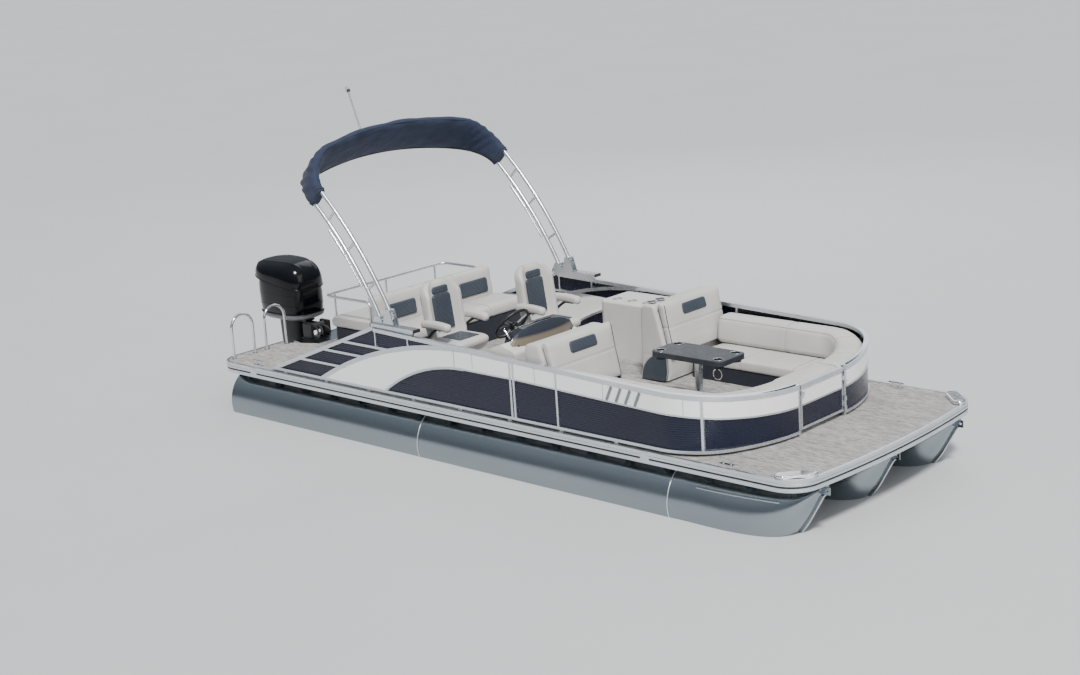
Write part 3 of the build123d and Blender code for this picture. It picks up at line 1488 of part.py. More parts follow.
def main():
    """Makes every piece."""
    os.makedirs("parts", exist_ok=True)
    make_deck()
    make_cross_members()
    make_pontoon("pontoon_starboard", -TUBE_Y, TUBE_STERN_X)
    make_pontoon("pontoon_port", TUBE_Y, TUBE_STERN_X)
    make_pontoon("pontoon_centre", 0, CENTRE_STERN_X)
    make_fence()
    make_gate()
    make_bow_lounge()
    make_chaise()
    make_table()
    console, dash = make_helm()
    make_wheel(console, dash)
    make_chair("helm_chair", CHAIR_X, CHAIR_Y)
    make_chair("companion_chair", COMPANION_X, COMPANION_Y)
    make_port_console()
    make_aft_lounge()
    make_stern_fittings()
    make_arch()
    make_arch_mounts()
    make_outboard()


main()
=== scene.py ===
"""Looks of the pontoon boat: materials, soft goods, small fittings, camera and lights."""
from math import cos, hypot, pi, radians, sin

import bmesh
import bpy
from mathutils import Matrix, Vector, noise
from mathutils.bvhtree import BVHTree


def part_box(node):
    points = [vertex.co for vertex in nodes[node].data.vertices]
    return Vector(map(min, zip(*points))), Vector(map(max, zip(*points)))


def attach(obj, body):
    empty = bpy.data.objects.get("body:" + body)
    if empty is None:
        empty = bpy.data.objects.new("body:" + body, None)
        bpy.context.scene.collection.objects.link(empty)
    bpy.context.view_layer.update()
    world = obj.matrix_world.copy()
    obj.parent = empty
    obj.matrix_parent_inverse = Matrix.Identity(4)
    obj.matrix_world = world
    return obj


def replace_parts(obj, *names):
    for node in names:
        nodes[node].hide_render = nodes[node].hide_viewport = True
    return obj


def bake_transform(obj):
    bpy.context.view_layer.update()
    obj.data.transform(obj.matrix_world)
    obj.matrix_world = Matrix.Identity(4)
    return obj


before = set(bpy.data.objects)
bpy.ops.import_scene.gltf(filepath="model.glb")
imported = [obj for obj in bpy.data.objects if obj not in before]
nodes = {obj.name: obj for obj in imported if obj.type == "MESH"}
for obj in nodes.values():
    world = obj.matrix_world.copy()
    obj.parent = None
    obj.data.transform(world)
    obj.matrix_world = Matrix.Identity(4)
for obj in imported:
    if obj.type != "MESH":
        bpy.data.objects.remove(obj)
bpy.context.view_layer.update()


# Places taken from the frame and sizes of the dressing, in metres and radians

FORE, PORT, UP = Vector((1, 0, 0)), Vector((0, 1, 0)), Vector((0, 0, 1))
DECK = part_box("deck")[1].z
GATE_X = sum(corner.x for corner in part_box("bow_gate_panel")) / 2
FENCE_Y = -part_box("fence_frame_starboard")[0].y - 0.020
FENCE_FROM_X = -1.0
TURN_X = GATE_X - 0.670
TURN_RADIUS = 0.560
TURN_ANGLE = radians(60)
POST_Y = -0.322

RIB_PITCH = 0.019
RIB_DEPTH = 0.0011
BAND_JOINTS = (0.05, 0.78, 1.52, 2.30)
FOOT_PITCH = 0.59

WELT = 0.0028
CUSHION_VOXEL = 0.020
QUILT_STEP = 0.008
QUILT_CORNER = 0.03
COAMING_STEP = 0.018
COAMING_SEAMS = (0.30, 0.62, 0.84)
FILLER_DEEPER = 0.085
FILLER_TALLER = 0.030

ARCH_LEAN = radians(47.5)
ARCH_FOOT = (-1.140, DECK + 0.702)
ARCH_FOOT_ANGLE = radians(27.5)
LEG_RADIUS = 1.235 / (2 * sin(radians(10)))
HOOP_GAP = 0.155
SHOULDER_RADIUS = 0.420
SHOULDER_TURN = radians(74)
CROWN_TURN = radians(32)
BOOT_HALF = 0.198

TUBE_WELDS = (2.15, -0.70)
STRAKE_FROM, STRAKE_TO, STRAKE_UP = 2.40, 3.16, 0.285
CUP_RADIUS = 0.0425


def middle(node):
    """The middle of a CAD node's box."""
    low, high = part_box(node)
    return (low + high) / 2


def tag(y):
    """The letter of a side in a piece's name."""
    return "p" if y > 0 else "s"


def blend_in(value, low, high):
    """Goes smoothly from 0 to 1 between two values."""
    share = max(0.0, min(1.0, (value - low) / (high - low)))
    return share * share * (3 - 2 * share)


# Materials

EVEN = (1, 1, 1)


class Look:
    """A material, and the steps that build its shader."""

    def __init__(self, name):
        self.material = bpy.data.materials.new(name)
        self.material.use_nodes = True
        self.shader = self.material.node_tree.nodes["Principled BSDF"]
        self.normal = None

    def new(self, kind, **values):
        """A node with constant values; an underscore stands for a space in a socket's name."""
        made = self.material.node_tree.nodes.new("ShaderNode" + kind)
        for name, value in values.items():
            made.inputs[name.replace("_", " ")].default_value = value
        return made

    def link(self, source, target):
        self.material.node_tree.links.new(source, target)

    def set(self, **values):
        """Sets constant values of the shader."""
        for name, value in values.items():
            self.shader.inputs[name.replace("_", " ")].default_value = value

    def place(self):
        """The object's own metres."""
        return self.new("TexCoord").outputs["Object"]

    def spots(self, scale, detail=4.0, stretch=EVEN, rough=0.55):
        """A noise texture."""
        mapping = self.new("Mapping", Scale=stretch)
        made = self.new("TexNoise", Scale=scale, Detail=detail, Roughness=rough)
        self.link(self.place(), mapping.inputs["Vector"])
        self.link(mapping.outputs["Vector"], made.inputs["Vector"])
        return made.outputs["Fac"]

    def ramp(self, source, *stops):
        """Maps a texture to colours, each at its place."""
        made = self.new("ValToRGB")
        elements = made.color_ramp.elements
        for element, (position, colour) in zip(elements, (stops[0], stops[-1])):
            element.position, element.color = position, (*colour, 1)
        for position, colour in stops[1:-1]:
            elements.new(position).color = (*colour, 1)
        self.link(source, made.inputs["Fac"])
        return made.outputs["Color"]

    def colour(self, source, low, high, start=0.3, end=0.7):
        self.link(self.ramp(source, (start, low), (end, high)), self.shader.inputs["Base Color"])

    def roughness(self, source, low, high):
        stops = (0.3, (low, low, low)), (0.7, (high, high, high))
        self.link(self.ramp(source, *stops), self.shader.inputs["Roughness"])

    def bump(self, height, strength, distance):
        """Adds a bump on top of the earlier ones."""
        made = self.new("Bump", Strength=strength, Distance=distance)
        self.link(height, made.inputs["Height"])
        if self.normal:
            self.link(self.normal, made.inputs["Normal"])
        self.normal = made.outputs["Normal"]
        self.link(self.normal, self.shader.inputs["Normal"])

    def weave(self, axis, scale, strength, distance):
        """Adds the yarns that lie across an axis."""
        made = self.new("TexWave", Scale=scale)
        made.bands_direction = axis
        self.link(self.place(), made.inputs["Vector"])
        self.bump(made.outputs["Fac"], strength, distance)


def surface(name, low, high, rough, scale=3.0, stretch=EVEN, metal=0.0, coat=0.0, grain=None,
            sheen=0.0, spread=(0.3, 0.7), glossy=0.5):
    """A material with colour and roughness that vary, and a grain (scale, strength, distance)."""
    look = Look(name)
    look.colour(look.spots(scale, stretch=stretch), low, high, *spread)
    look.roughness(look.spots(scale * 7, stretch=stretch), *rough)
    look.set(Metallic=metal, Coat_Weight=coat, Coat_Roughness=0.03, Sheen_Weight=sheen,
             Specular_IOR_Level=glossy)
    if grain:
        look.bump(look.spots(grain[0], 2.0), grain[1], grain[2])
    return look.material


def vinyl(name, low, high, rough=(0.42, 0.55)):
    """Marine vinyl: leather cells, small creases and faint soiling."""
    look = Look(name)
    look.colour(look.spots(2.6, 5.0), low, high, 0.25, 0.75)
    look.roughness(look.spots(24), *rough)
    look.set(Sheen_Weight=0.08)
    cells = look.new("TexVoronoi", Scale=420)
    cells.feature = "DISTANCE_TO_EDGE"
    look.link(look.place(), cells.inputs["Vector"])
    look.bump(cells.outputs["Distance"], 0.25, 0.0006)
    look.bump(look.spots(16, 3.0), 0.10, 0.004)
    return look.material


def woven_deck():
    """Woven vinyl flooring: pale and dark yarns that run fore and aft."""
    look = Look("woven_deck")
    mix = look.new("Mix", Factor=0.12)
    look.link(look.spots(1.0, 6.0, (12, 105, 40), 0.78), mix.inputs["A"])
    look.link(look.spots(1.0, 3.0, (1.2, 16, 4)), mix.inputs["B"])
    colours = look.ramp(
        mix.outputs["Result"], (0.30, (0.085, 0.080, 0.080)), (0.44, (0.21, 0.20, 0.197)),
        (0.52, (0.36, 0.35, 0.34)), (0.66, (0.60, 0.59, 0.575)),
    )
    look.link(colours, look.shader.inputs["Base Color"])
    look.set(Roughness=0.72)
    look.weave("X", 70, 0.35, 0.0012)
    look.weave("Y", 110, 0.35, 0.0012)
    return look.material


def canvas_cloth():
    """Navy acrylic canvas: a fine weave, soft sheen and faded patches."""
    look = Look("canvas_cloth")
    look.colour(look.spots(3.0, 6.0, rough=0.6), (0.0105, 0.0180, 0.044), (0.021, 0.033, 0.074))
    look.set(Roughness=0.85, Sheen_Weight=0.06)
    for axis in "YZ":
        look.weave(axis, 260, 0.25, 0.0005)
    look.bump(look.spots(9, 3.0, (1, 0.6, 1)), 0.40, 0.03)
    return look.material


def bronze_screen():
    """A smoked screen: bronze below, darker and bluer towards its upper edge."""
    look = Look("bronze_screen")
    parts = look.new("SeparateXYZ")
    look.link(look.place(), parts.inputs["Vector"])
    rise = look.new("MapRange", From_Min=DECK + 0.652, From_Max=DECK + 0.690)
    look.link(parts.outputs["Z"], rise.inputs["Value"])
    look.colour(rise.outputs["Result"], (0.205, 0.170, 0.130), (0.030, 0.037, 0.050), 0.2, 0.8)
    look.roughness(look.spots(9.0), 0.08, 0.16)
    look.set(Transmission_Weight=0.22, IOR=1.46, Coat_Weight=0.5)
    return look.material


M = {
    "hull": surface("satin_hull", (0.27, 0.315, 0.345), (0.34, 0.385, 0.415), (0.20, 0.27), 0.8,
                    (0.35, 3, 3), 1.0),
    "rail": surface("anodised_rail", (0.66, 0.70, 0.73), (0.75, 0.78, 0.81), (0.24, 0.34), 1.2,
                    (0.6, 3, 3), 1.0, spread=(0.35, 0.65)),
    "gill": surface("gill_metal", (0.22, 0.25, 0.27), (0.32, 0.35, 0.38), (0.30, 0.42), 3, metal=1.0),
    "weld": surface("weld_bead", (0.80, 0.82, 0.84), (0.93, 0.94, 0.95), (0.34, 0.50), 20, metal=1.0,
                    grain=(160, 0.5, 0.002)),
    "deck": woven_deck(),
    "rubber": surface("black_rubber", (0.010, 0.010, 0.011), (0.022, 0.022, 0.024), (0.55, 0.75), 8,
                      grain=(380, 0.25, 0.0008)),
    "navy": surface("gloss_navy", (0.0016, 0.0030, 0.014), (0.0032, 0.0056, 0.024), (0.22, 0.32), 1.2,
                    coat=0.30, grain=(3.0, 0.05, 0.004), glossy=0.35),
    "navy_soft": vinyl("navy_vinyl", (0.0045, 0.0065, 0.016), (0.008, 0.011, 0.024), (0.5, 0.65)),
    "white": surface("gloss_white", (0.85, 0.86, 0.86), (0.91, 0.915, 0.91), (0.16, 0.24), 1.0,
                     coat=0.8, grain=(2.4, 0.04, 0.004)),
    "joint": surface("joint_line", (0.10, 0.10, 0.11), (0.16, 0.16, 0.17), (0.5, 0.7), 12),
    "vinyl": vinyl("light_vinyl", (0.46, 0.455, 0.438), (0.55, 0.543, 0.522)),
    "piping": vinyl("light_piping", (0.30, 0.293, 0.28), (0.37, 0.36, 0.345)),
    "slate": vinyl("slate_vinyl", (0.026, 0.036, 0.052), (0.042, 0.054, 0.074)),
    "moulded": surface("moulded_light", (0.54, 0.535, 0.515), (0.62, 0.615, 0.595), (0.34, 0.48), 2.2,
                       coat=0.15, grain=(300, 0.10, 0.0006)),
    "slate_hard": surface("slate_plastic", (0.026, 0.034, 0.046), (0.042, 0.052, 0.068), (0.36, 0.52),
                          5, grain=(420, 0.22, 0.0006)),
    "table": surface("table_slate", (0.016, 0.020, 0.027), (0.028, 0.034, 0.043), (0.40, 0.55), 6,
                     grain=(260, 0.18, 0.0006)),
    "screen": bronze_screen(),
    "chrome": surface("polished_steel", (0.76, 0.77, 0.79), (0.88, 0.89, 0.90), (0.04, 0.14), 4,
                      metal=1.0),
    "black": surface("black_plastic", (0.010, 0.010, 0.012), (0.020, 0.020, 0.022), (0.38, 0.55), 6,
                     grain=(360, 0.18, 0.0006)),
    "gloss_black": surface("gloss_black", (0.0012, 0.0016, 0.003), (0.0024, 0.003, 0.0052),
                           (0.14, 0.22), 2.0, coat=0.28, grain=(2.6, 0.03, 0.004), glossy=0.18),
    "grey": surface("satin_grey", (0.12, 0.13, 0.14), (0.18, 0.19, 0.20), (0.30, 0.45), 4),
    "glass_black": surface("display_glass", (0.004, 0.006, 0.010), (0.010, 0.014, 0.020),
                           (0.04, 0.08), 3, coat=1.0),
    "canvas": canvas_cloth(),
    "binding": surface("black_binding", (0.008, 0.009, 0.012), (0.018, 0.019, 0.024), (0.7, 0.85), 12,
                       sheen=0.2, grain=(500, 0.3, 0.0006)),
}

CAD_LOOKS = {
    "hull": ("pontoon_starboard", "pontoon_port", "pontoon_centre", "cross_members", "motor_pod"),
    "deck": ("deck",),
    "rail": (
        "rub_rail", "fence_frame_starboard", "fence_frame_port", "bow_gate_frame", "arch_frame",
        "arch_struts", "light_mast", "arch_mounts", "table_pedestal", "helm_chair_pedestal",
        "companion_chair_pedestal", "aft_rail",
    ),
    "gill": ("gills",),
    "rubber": ("rub_insert",),
    "navy": ("bow_gate_panel",),
    "navy_soft": ("bow_base_starboard", "bow_base_port", "aft_base"),
    "white": ("fence_band_starboard", "fence_band_port", "bow_gate_band"),
    "moulded": ("helm_console", "port_console"),
    "slate_hard": ("helm_dash",),
    "table": ("table_top",),
    "screen": ("wind_screen",),
    "chrome": ("stern_hoops", "cleats", "corner_fittings", "propeller"),
    "black": ("steering_column", "motor_clamp", "motor_swivel", "motor_leg"),
    "grey": ("motor_pan",),
}


def painted(mesh, look, smooth):
    """Gives a mesh its material, and smooth shading up to an angle."""
    mesh.materials.clear()
    mesh.materials.append(M[look])
    mesh.polygons.foreach_set("use_smooth", [True] * len(mesh.polygons))
    mesh.set_sharp_from_angle(angle=radians(smooth))


for look_name, names in CAD_LOOKS.items():
    for node_name in names:
        painted(nodes[node_name].data, look_name, 28)


# Mesh helpers


def dressed(name, mesh, look, body="root", smooth=35):
    """Links a mesh, gives it its look, and lets it ride on a CAD body."""
    painted(mesh, look, smooth)
    built = bpy.data.objects.new(name, mesh)
    bpy.context.scene.collection.objects.link(built)
    if body:
        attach(built, body)
    return built


def piece(name, verts, faces, look, body="root", smooth=35):
    """Makes an object from points and faces."""
    mesh = bpy.data.meshes.new(name)
    mesh.from_pydata([tuple(v) for v in verts], [], faces)
    built = bmesh.new()
    built.from_mesh(mesh)
    bmesh.ops.recalc_face_normals(built, faces=built.faces)
    built.to_mesh(mesh)
    built.free()
    return dressed(name, mesh, look, body, smooth)


def loft(name, rings, look, body="root", closed=False, smooth=35):
    """Makes a skin through rings that have the same number of points."""
    count = len(rings[0])
    verts = [point for ring in rings for point in ring]
    faces = []
    for i in range(len(rings) if closed else len(rings) - 1):
        near = i * count
        far = (i + 1) % len(rings) * count
        for j in range(count):
            k = (j + 1) % count
            faces.append((near + j, near + k, far + k, far + j))
    if not closed:
        faces.append(tuple(range(count - 1, -1, -1)))
        faces.append(tuple(range((len(rings) - 1) * count, len(rings) * count)))
    return piece(name, verts, faces, look, body, smooth)


def rounded(half_u, half_v, radius, steps=5):
    """The points of a rounded rectangle."""
    points = []
    for u, v, start in ((1, 1, 0), (-1, 1, 90), (-1, -1, 180), (1, -1, 270)):
        for i in range(steps + 1):
            angle = radians(start + 90 * i / steps)
            points.append((u * (half_u - radius) + radius * cos(angle),
                           v * (half_v - radius) + radius * sin(angle)))
    return points


def swell(value, power):
    """A sine or cosine made fuller, with its sign kept."""
    return abs(value) ** (2 / power) * (1 if value >= 0 else -1)


def oval(half_u, half_v, power=2.6, count=40):
    """The points of a superellipse."""
    turns = [2 * pi * i / count for i in range(count)]
    return [(half_u * swell(cos(a), power), half_v * swell(sin(a), power)) for a in turns]


def place(points, origin, u_axis=FORE, v_axis=PORT):
    """Puts flat points on a plane in the row frame."""
    origin, u_axis, v_axis = Vector(origin), Vector(u_axis), Vector(v_axis)
    return [origin + u_axis * u + v_axis * v for u, v in points]


def circle(centre, axis, radius, count, u=None):
    """The points of a circle about an axis, from the direction u if it is given."""
    axis = Vector(axis).normalized()
    if u is None:
        u = axis.orthogonal().normalized()
    v = axis.cross(u)
    turns = [2 * pi * i / count for i in range(count)]
    return [Vector(centre) + (u * cos(a) + v * sin(a)) * radius for a in turns]


def tube(name, points, radius, look, body="root", sides=10, closed=False):
    """Makes a round tube along points."""
    points = [Vector(p) for p in points]
    rings = []
    side = None
    for i, point in enumerate(points):
        before = points[i - 1] if i or closed else point
        after = points[(i + 1) % len(points)] if i + 1 < len(points) or closed else point
        along = (after - before).normalized()
        if side is None:
            side = along.orthogonal().normalized()
        side = (side - along * side.dot(along)).normalized()
        rings.append(circle(point, along, radius, sides, side))
    return loft(name, rings, look, body, closed=closed)


def ring_at(name, centre, axis, radius, thick, body="root"):
    """Makes a round ring of steel wire."""
    return tube(name, circle(centre, axis, radius, 48), thick, "chrome", body, closed=True)


def dome_at(name, centre, axis, radius, height, look, body="root", turns=28):
    """Makes a low round button with a soft edge."""
    axis = Vector(axis).normalized()
    rings = []
    for share, up in ((1, 0), (1, 0.55), (0.93, 0.82), (0.78, 0.95), (0.4, 1.0), (0.02, 1.0)):
        rings.append(circle(Vector(centre) + axis * height * up, axis, radius * share, turns))
    return loft(name, rings, look, body)


def slab(name, centre, size, radius, look, body="root", axes=(FORE, PORT, UP), crown=0.0):
    """Makes a box with rounded edges and, if asked, a crowned face. Size is along the axes."""
    u, v, w = [Vector(a) for a in axes]
    half = [s / 2 for s in size]
    radius = min(radius, half[0] * 0.98, half[1] * 0.98, half[2] * 0.98)
    levels = []
    for angle in (0, 30, 60, 90):
        c, s = cos(radians(angle)), sin(radians(angle))
        levels.append((-half[2] + radius * (1 - c), radius * (1 - s)))
    levels += [(-z, inset) for z, inset in reversed(levels)]
    rings = []
    for z, inset in levels:
        flat = rounded(half[0] - inset, half[1] - inset, max(radius - inset, radius * 0.35), 4)
        rings.append(place(flat, Vector(centre) + w * z, u, v))
    for share in (0.9, 0.7, 0.45, 0.2, 0.02) if crown else ():
        flat = rounded((half[0] - radius) * share, (half[1] - radius) * share, radius * 0.3 * share, 4)
        rings.append(place(flat, Vector(centre) + w * (half[2] + crown * (1 - share * share)), u, v))
    return loft(name, rings, look, body)


def skin(mesh):
    """A mesh's faces, to be found by rays."""
    return BVHTree.FromPolygons([v.co for v in mesh.vertices], [p.vertices for p in mesh.polygons])


# The fence's plan, as in the solids


def arc(centre, radius, offset, start, sweep, steps):
    """Points and outward normals along an arc."""
    found = []
    for i in steps:
        angle = start + sweep * i
        normal = Vector((cos(angle), sin(angle), 0))
        found.append((centre + normal * (radius + offset), normal))
    return found


def fence_plan(offset, start_x, step=0.04):
    """Points and outward normals along the starboard fence, from aft to the gate."""
    run = TURN_X - start_x
    count = max(2, int(run / step))
    found = []
    for i in range(count):
        found.append((Vector((start_x + run * i / count, -FENCE_Y - offset, 0)), Vector((0, -1, 0))))
    centre = Vector((TURN_X, -FENCE_Y + TURN_RADIUS, 0))
    count = int(TURN_ANGLE * TURN_RADIUS / step) + 6
    found += arc(centre, TURN_RADIUS, offset, -pi / 2, TURN_ANGLE, [i / count for i in range(count)])
    start = -pi / 2 + TURN_ANGLE
    end_normal = Vector((cos(start), sin(start), 0))
    corner = centre + end_normal * TURN_RADIUS
    chord = Vector((GATE_X, POST_Y, 0)) - corner
    sweep = 2 * (chord.xy.angle_signed(Vector((1, 0))) - TURN_ANGLE)
    radius = chord.length / (2 * sin(sweep / 2))
    count = int(sweep * radius / step) + 2
    shares = [i / count for i in range(count + 1)]
    return found + arc(corner - end_normal * radius, radius, offset, start, sweep, shares)


def flipped(found):
    """The same line on the port side."""
    return [(Vector((p.x, -p.y, p.z)), Vector((n.x, -n.y, n.z))) for p, n in found]


def outward(x, y):
    """The direction across the fence at a place on it."""
    side = -1 if y < 0 else 1
    if x < TURN_X:
        return PORT * side
    return Vector((x - TURN_X, y - side * (FENCE_Y - TURN_RADIUS), 0)).normalized()


def top_at(x):
    """Height of the fence's top above the deck, aft of the dip to the gate."""
    return 0.507 + 0.031 * (GATE_X - 0.550 - x)


# Padded pieces


def applied(source):
    """The mesh of an object with its modifiers applied."""
    graph = bpy.context.evaluated_depsgraph_get()
    return bpy.data.meshes.new_from_object(source.evaluated_get(graph))


def remeshed(name, mesh, voxel, shrink):
    """A copy of a mesh with even faces, drawn in a little along its normals."""
    work = bpy.data.objects.new(name + "_work", mesh.copy())
    bpy.context.scene.collection.objects.link(work)
    even = work.modifiers.new("even", "REMESH")
    even.mode = "VOXEL"
    even.voxel_size = voxel
    soft = work.modifiers.new("soft", "SMOOTH")
    soft.factor = 0.5
    soft.iterations = 3
    work.data = applied(work)
    work.modifiers.clear()
    for vertex in work.data.vertices:
        vertex.co -= vertex.normal * shrink
    return work


def blow_up(work, cap):
    """Blows a mesh up as cloth, no further than the cap."""
    rest = [v.co.copy() for v in work.data.vertices]
    cloth = work.modifiers.new("cloth", "CLOTH")
    cloth.settings.use_pressure = True
    cloth.settings.uniform_pressure_force = 4
    cloth.settings.effector_weights.gravity = 0
    cloth.settings.quality = 4
    for step in range(1, 15):
        bpy.context.scene.frame_set(step)
    blown = applied(work)
    work.modifiers.clear()
    bpy.context.scene.frame_set(1)
    for vertex, start in zip(blown.vertices, rest):
        move = vertex.co - start
        if move.length > cap:
            vertex.co = start + move.normalized() * cap
    work.data = blown


def draw_in(mesh, seams):
    """Pulls a mesh in along straight seams: (axis, place, half width, depth)."""
    moves = []
    for vertex in mesh.vertices:
        pull = 0.0
        for axis, at, half, depth in seams:
            away = abs(vertex.co[axis] - at) / half
            if away < 1:
                pull = max(pull, depth * (1 - away) ** 2)
        moves.append(vertex.normal * pull)
    for vertex, move in zip(mesh.vertices, moves):
        vertex.co -= move
    mesh.update()


def padded(built, node=None):
    """Hides the CAD node that a soft piece stands for, if one is given."""
    if node:
        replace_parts(built, node)
    return built


def puffed(name, node, cap=0.010, seams=(), voxel=CUSHION_VOXEL, shrink=0.006):
    """A cushion that stands for a CAD solid: blown up as cloth, then drawn in along its seams."""
    work = remeshed(name, nodes[node].data, voxel, shrink)
    blow_up(work, cap)
    finer = work.modifiers.new("finer", "SUBSURF")
    finer.levels = 1
    finer.render_levels = 1
    mesh = applied(work)
    bpy.data.objects.remove(work)
    draw_in(mesh, seams)
    return padded(dressed(name, mesh, "vinyl", smooth=60), node)


def port_twin(source, name, node):
    """The mirror image of a starboard cushion, on the port side."""
    mesh = source.data.copy()
    mesh.transform(Matrix.Diagonal((1, -1, 1, 1)))
    mesh.flip_normals()
    return padded(dressed(name, mesh, "vinyl", smooth=60), node)


def seam(name, target, start, end, towards, radius=WELT, look="piping"):
    """A welt along the surface of a piece, found by looking at it along a direction."""
    tree = skin(target.data)
    start, end, towards = Vector(start), Vector(end), Vector(towards).normalized()
    points = []
    for i in range(61):
        hit = tree.ray_cast(start.lerp(end, i / 60) - towards * 0.5, towards, 1.2)
        if hit[0] is not None:
            points.append(hit[0] - towards * radius * 0.3)
    if len(points) > 2:
        tube(name, points, radius, look, sides=8)


def quilt(name, origin, u_axis, v_axis, width, height, depth, body="root", pitch=0.055, bulge=None):
    """A slate panel stitched in diamonds, on a plane, with a soft edge."""
    origin, u_axis, v_axis = Vector(origin), Vector(u_axis).normalized(), Vector(v_axis).normalized()
    normal = u_axis.cross(v_axis)
    across = max(12, int(width / QUILT_STEP))
    up = max(12, int(height / QUILT_STEP))
    row = across + 1
    corner_u, corner_v = width / 2 - QUILT_CORNER, height / 2 - QUILT_CORNER
    verts = []
    for j in range(up + 1):
        for i in range(row):
            u = (i / across - 0.5) * width
            v = (j / up - 0.5) * height
            line = min(abs(((u + v) / pitch) % 1 - 0.5), abs(((u - v) / pitch) % 1 - 0.5)) * 2
            edge = min(width / 2 - abs(u), height / 2 - abs(v))
            puff = depth * (0.55 + 0.45 * min(1, line * 3.2) ** 0.5) * min(1, edge / 0.012) ** 0.5
            corner = Vector((max(0, abs(u) - corner_u), max(0, abs(v) - corner_v)))
            if corner.length > QUILT_CORNER:
                shorter = corner * (QUILT_CORNER / corner.length)
                u = (corner_u + shorter.x) * (1 if u > 0 else -1)
                v = (corner_v + shorter.y) * (1 if v > 0 else -1)
                puff = 0
            shift = bulge(u, v) if bulge else 0
            verts.append(origin + u_axis * u + v_axis * v + normal * (puff + shift))
    count = len(verts)
    verts += [v - normal * 0.012 for v in verts]
    faces = []
    for j in range(up):
        for i in range(across):
            at = j * row + i
            faces.append((at, at + 1, at + row + 1, at + row))
            at += count
            faces.append((at + row, at + row + 1, at + 1, at))
    rim = list(range(row)) + [j * row + across for j in range(1, up + 1)]
    rim += [up * row + i for i in range(across - 1, -1, -1)] + [j * row for j in range(up - 1, 0, -1)]
    for a, b in zip(rim, rim[1:] + rim[:1]):
        faces.append((a, a + count, b + count, b))
    return piece(name, verts, faces, "slate", body, 60)


# Lounges


def make_bow_lounge():
    """The seats, coamings and filler at the bow."""
    low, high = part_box("bow_seat_starboard")
    cuts = [low.x + (high.x - low.x) * share for share in COAMING_SEAMS[:2]]
    seat = puffed("bow_seat_cushion_starboard", "bow_seat_starboard",
                  seams=[(0, cut, 0.014, 0.007) for cut in cuts])
    twin = port_twin(seat, "bow_seat_cushion_port", "bow_seat_port")
    for number, cut in enumerate(cuts):
        for side, target in ((1, seat), (-1, twin)):
            seam(f"bow_seat_welt_{number}_{tag(-side)}", target, (cut, side * (low.y + 0.14), 1),
                 (cut, side * (high.y - 0.01), 1), -UP)
    coaming("starboard", 1)
    coaming("port", -1)
    low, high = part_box("bow_filler")
    size = high - low + Vector((FILLER_DEEPER, 0, FILLER_TALLER))
    spot = middle("bow_filler") + Vector((-FILLER_DEEPER, 0, FILLER_TALLER)) / 2
    padded(slab("bow_filler_cushion", spot, size, 0.035, "vinyl", crown=0.004), "bow_filler")


def coaming_section(x, low):
    """The coaming's section at a place: middle offset, half width, middle height, half height."""
    near_gate = blend_in(x, TURN_X + 0.15, GATE_X - 0.05)
    top = DECK + 0.478 - 0.052 * near_gate
    return -0.160 + 0.006 * near_gate, 0.102 + 0.018 * near_gate, (top + low) / 2, (top - low) / 2


def coaming(name, side):
    """The long padded coaming inside the fence, with pinched seams and a welt on each."""
    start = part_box("bow_back_starboard")[0]
    line = [item for item in fence_plan(0, start.x, COAMING_STEP)
            if item[0].x <= TURN_X or item[0].y <= POST_Y + 0.008]
    line = line if side > 0 else flipped(line)
    total = len(line) - 1
    rings = []
    for i, (point, normal) in enumerate(line):
        offset, half, z, tall = coaming_section(point.x, start.z)
        near = min(abs(i / total - cut) for cut in COAMING_SEAMS) * total * COAMING_STEP
        end = min(i, total - i) * COAMING_STEP
        pinch = 1 - 0.09 * max(0, 1 - near / 0.022) ** 2
        pinch *= 1 - 0.16 * max(0, 1 - end / 0.035) ** 2
        ring = []
        for u, v in rounded(half, tall, 0.055, 7):
            crown = 0.007 * cos(pi / 2 * max(-1, min(1, v / tall)))
            cap = 0.006 * cos(pi / 2 * max(-1, min(1, u / half)))
            out = (u + (crown if u > 0 else -crown)) * pinch + 0.016 * (v / tall) + offset
            rise = (v + (cap if v > 0 else 0)) * (0.4 + 0.6 * pinch)
            ring.append(point + normal * out + UP * (z + rise))
        rings.append(ring)
    padded(loft(f"coaming_cushion_{name}", rings, "vinyl", smooth=60), f"bow_back_{name}")
    for number, cut in enumerate(COAMING_SEAMS):
        ring = rings[round(cut * total)]
        centre = sum(ring, Vector()) / len(ring)
        path = [p + (p - centre).normalized() * 0.0005 for p in ring]
        tube(f"coaming_welt_{name}_{number}", path, WELT, "piping", closed=True)
    edge = [ring[12] - normal * 0.001 for ring, (point, normal) in zip(rings, line)]
    tube(f"coaming_edge_{name}", edge[1:-1], 0.0032, "piping")


def shrunk(outline, inset):
    """An outline drawn in towards its middle."""
    mid_x = sum(x for x, z in outline) / len(outline)
    mid_z = sum(z for x, z in outline) / len(outline)
    share = 1 - inset / max(hypot(x - mid_x, z - mid_z) for x, z in outline)
    return [(mid_x + (x - mid_x) * share, mid_z + (z - mid_z) * share) for x, z in outline]


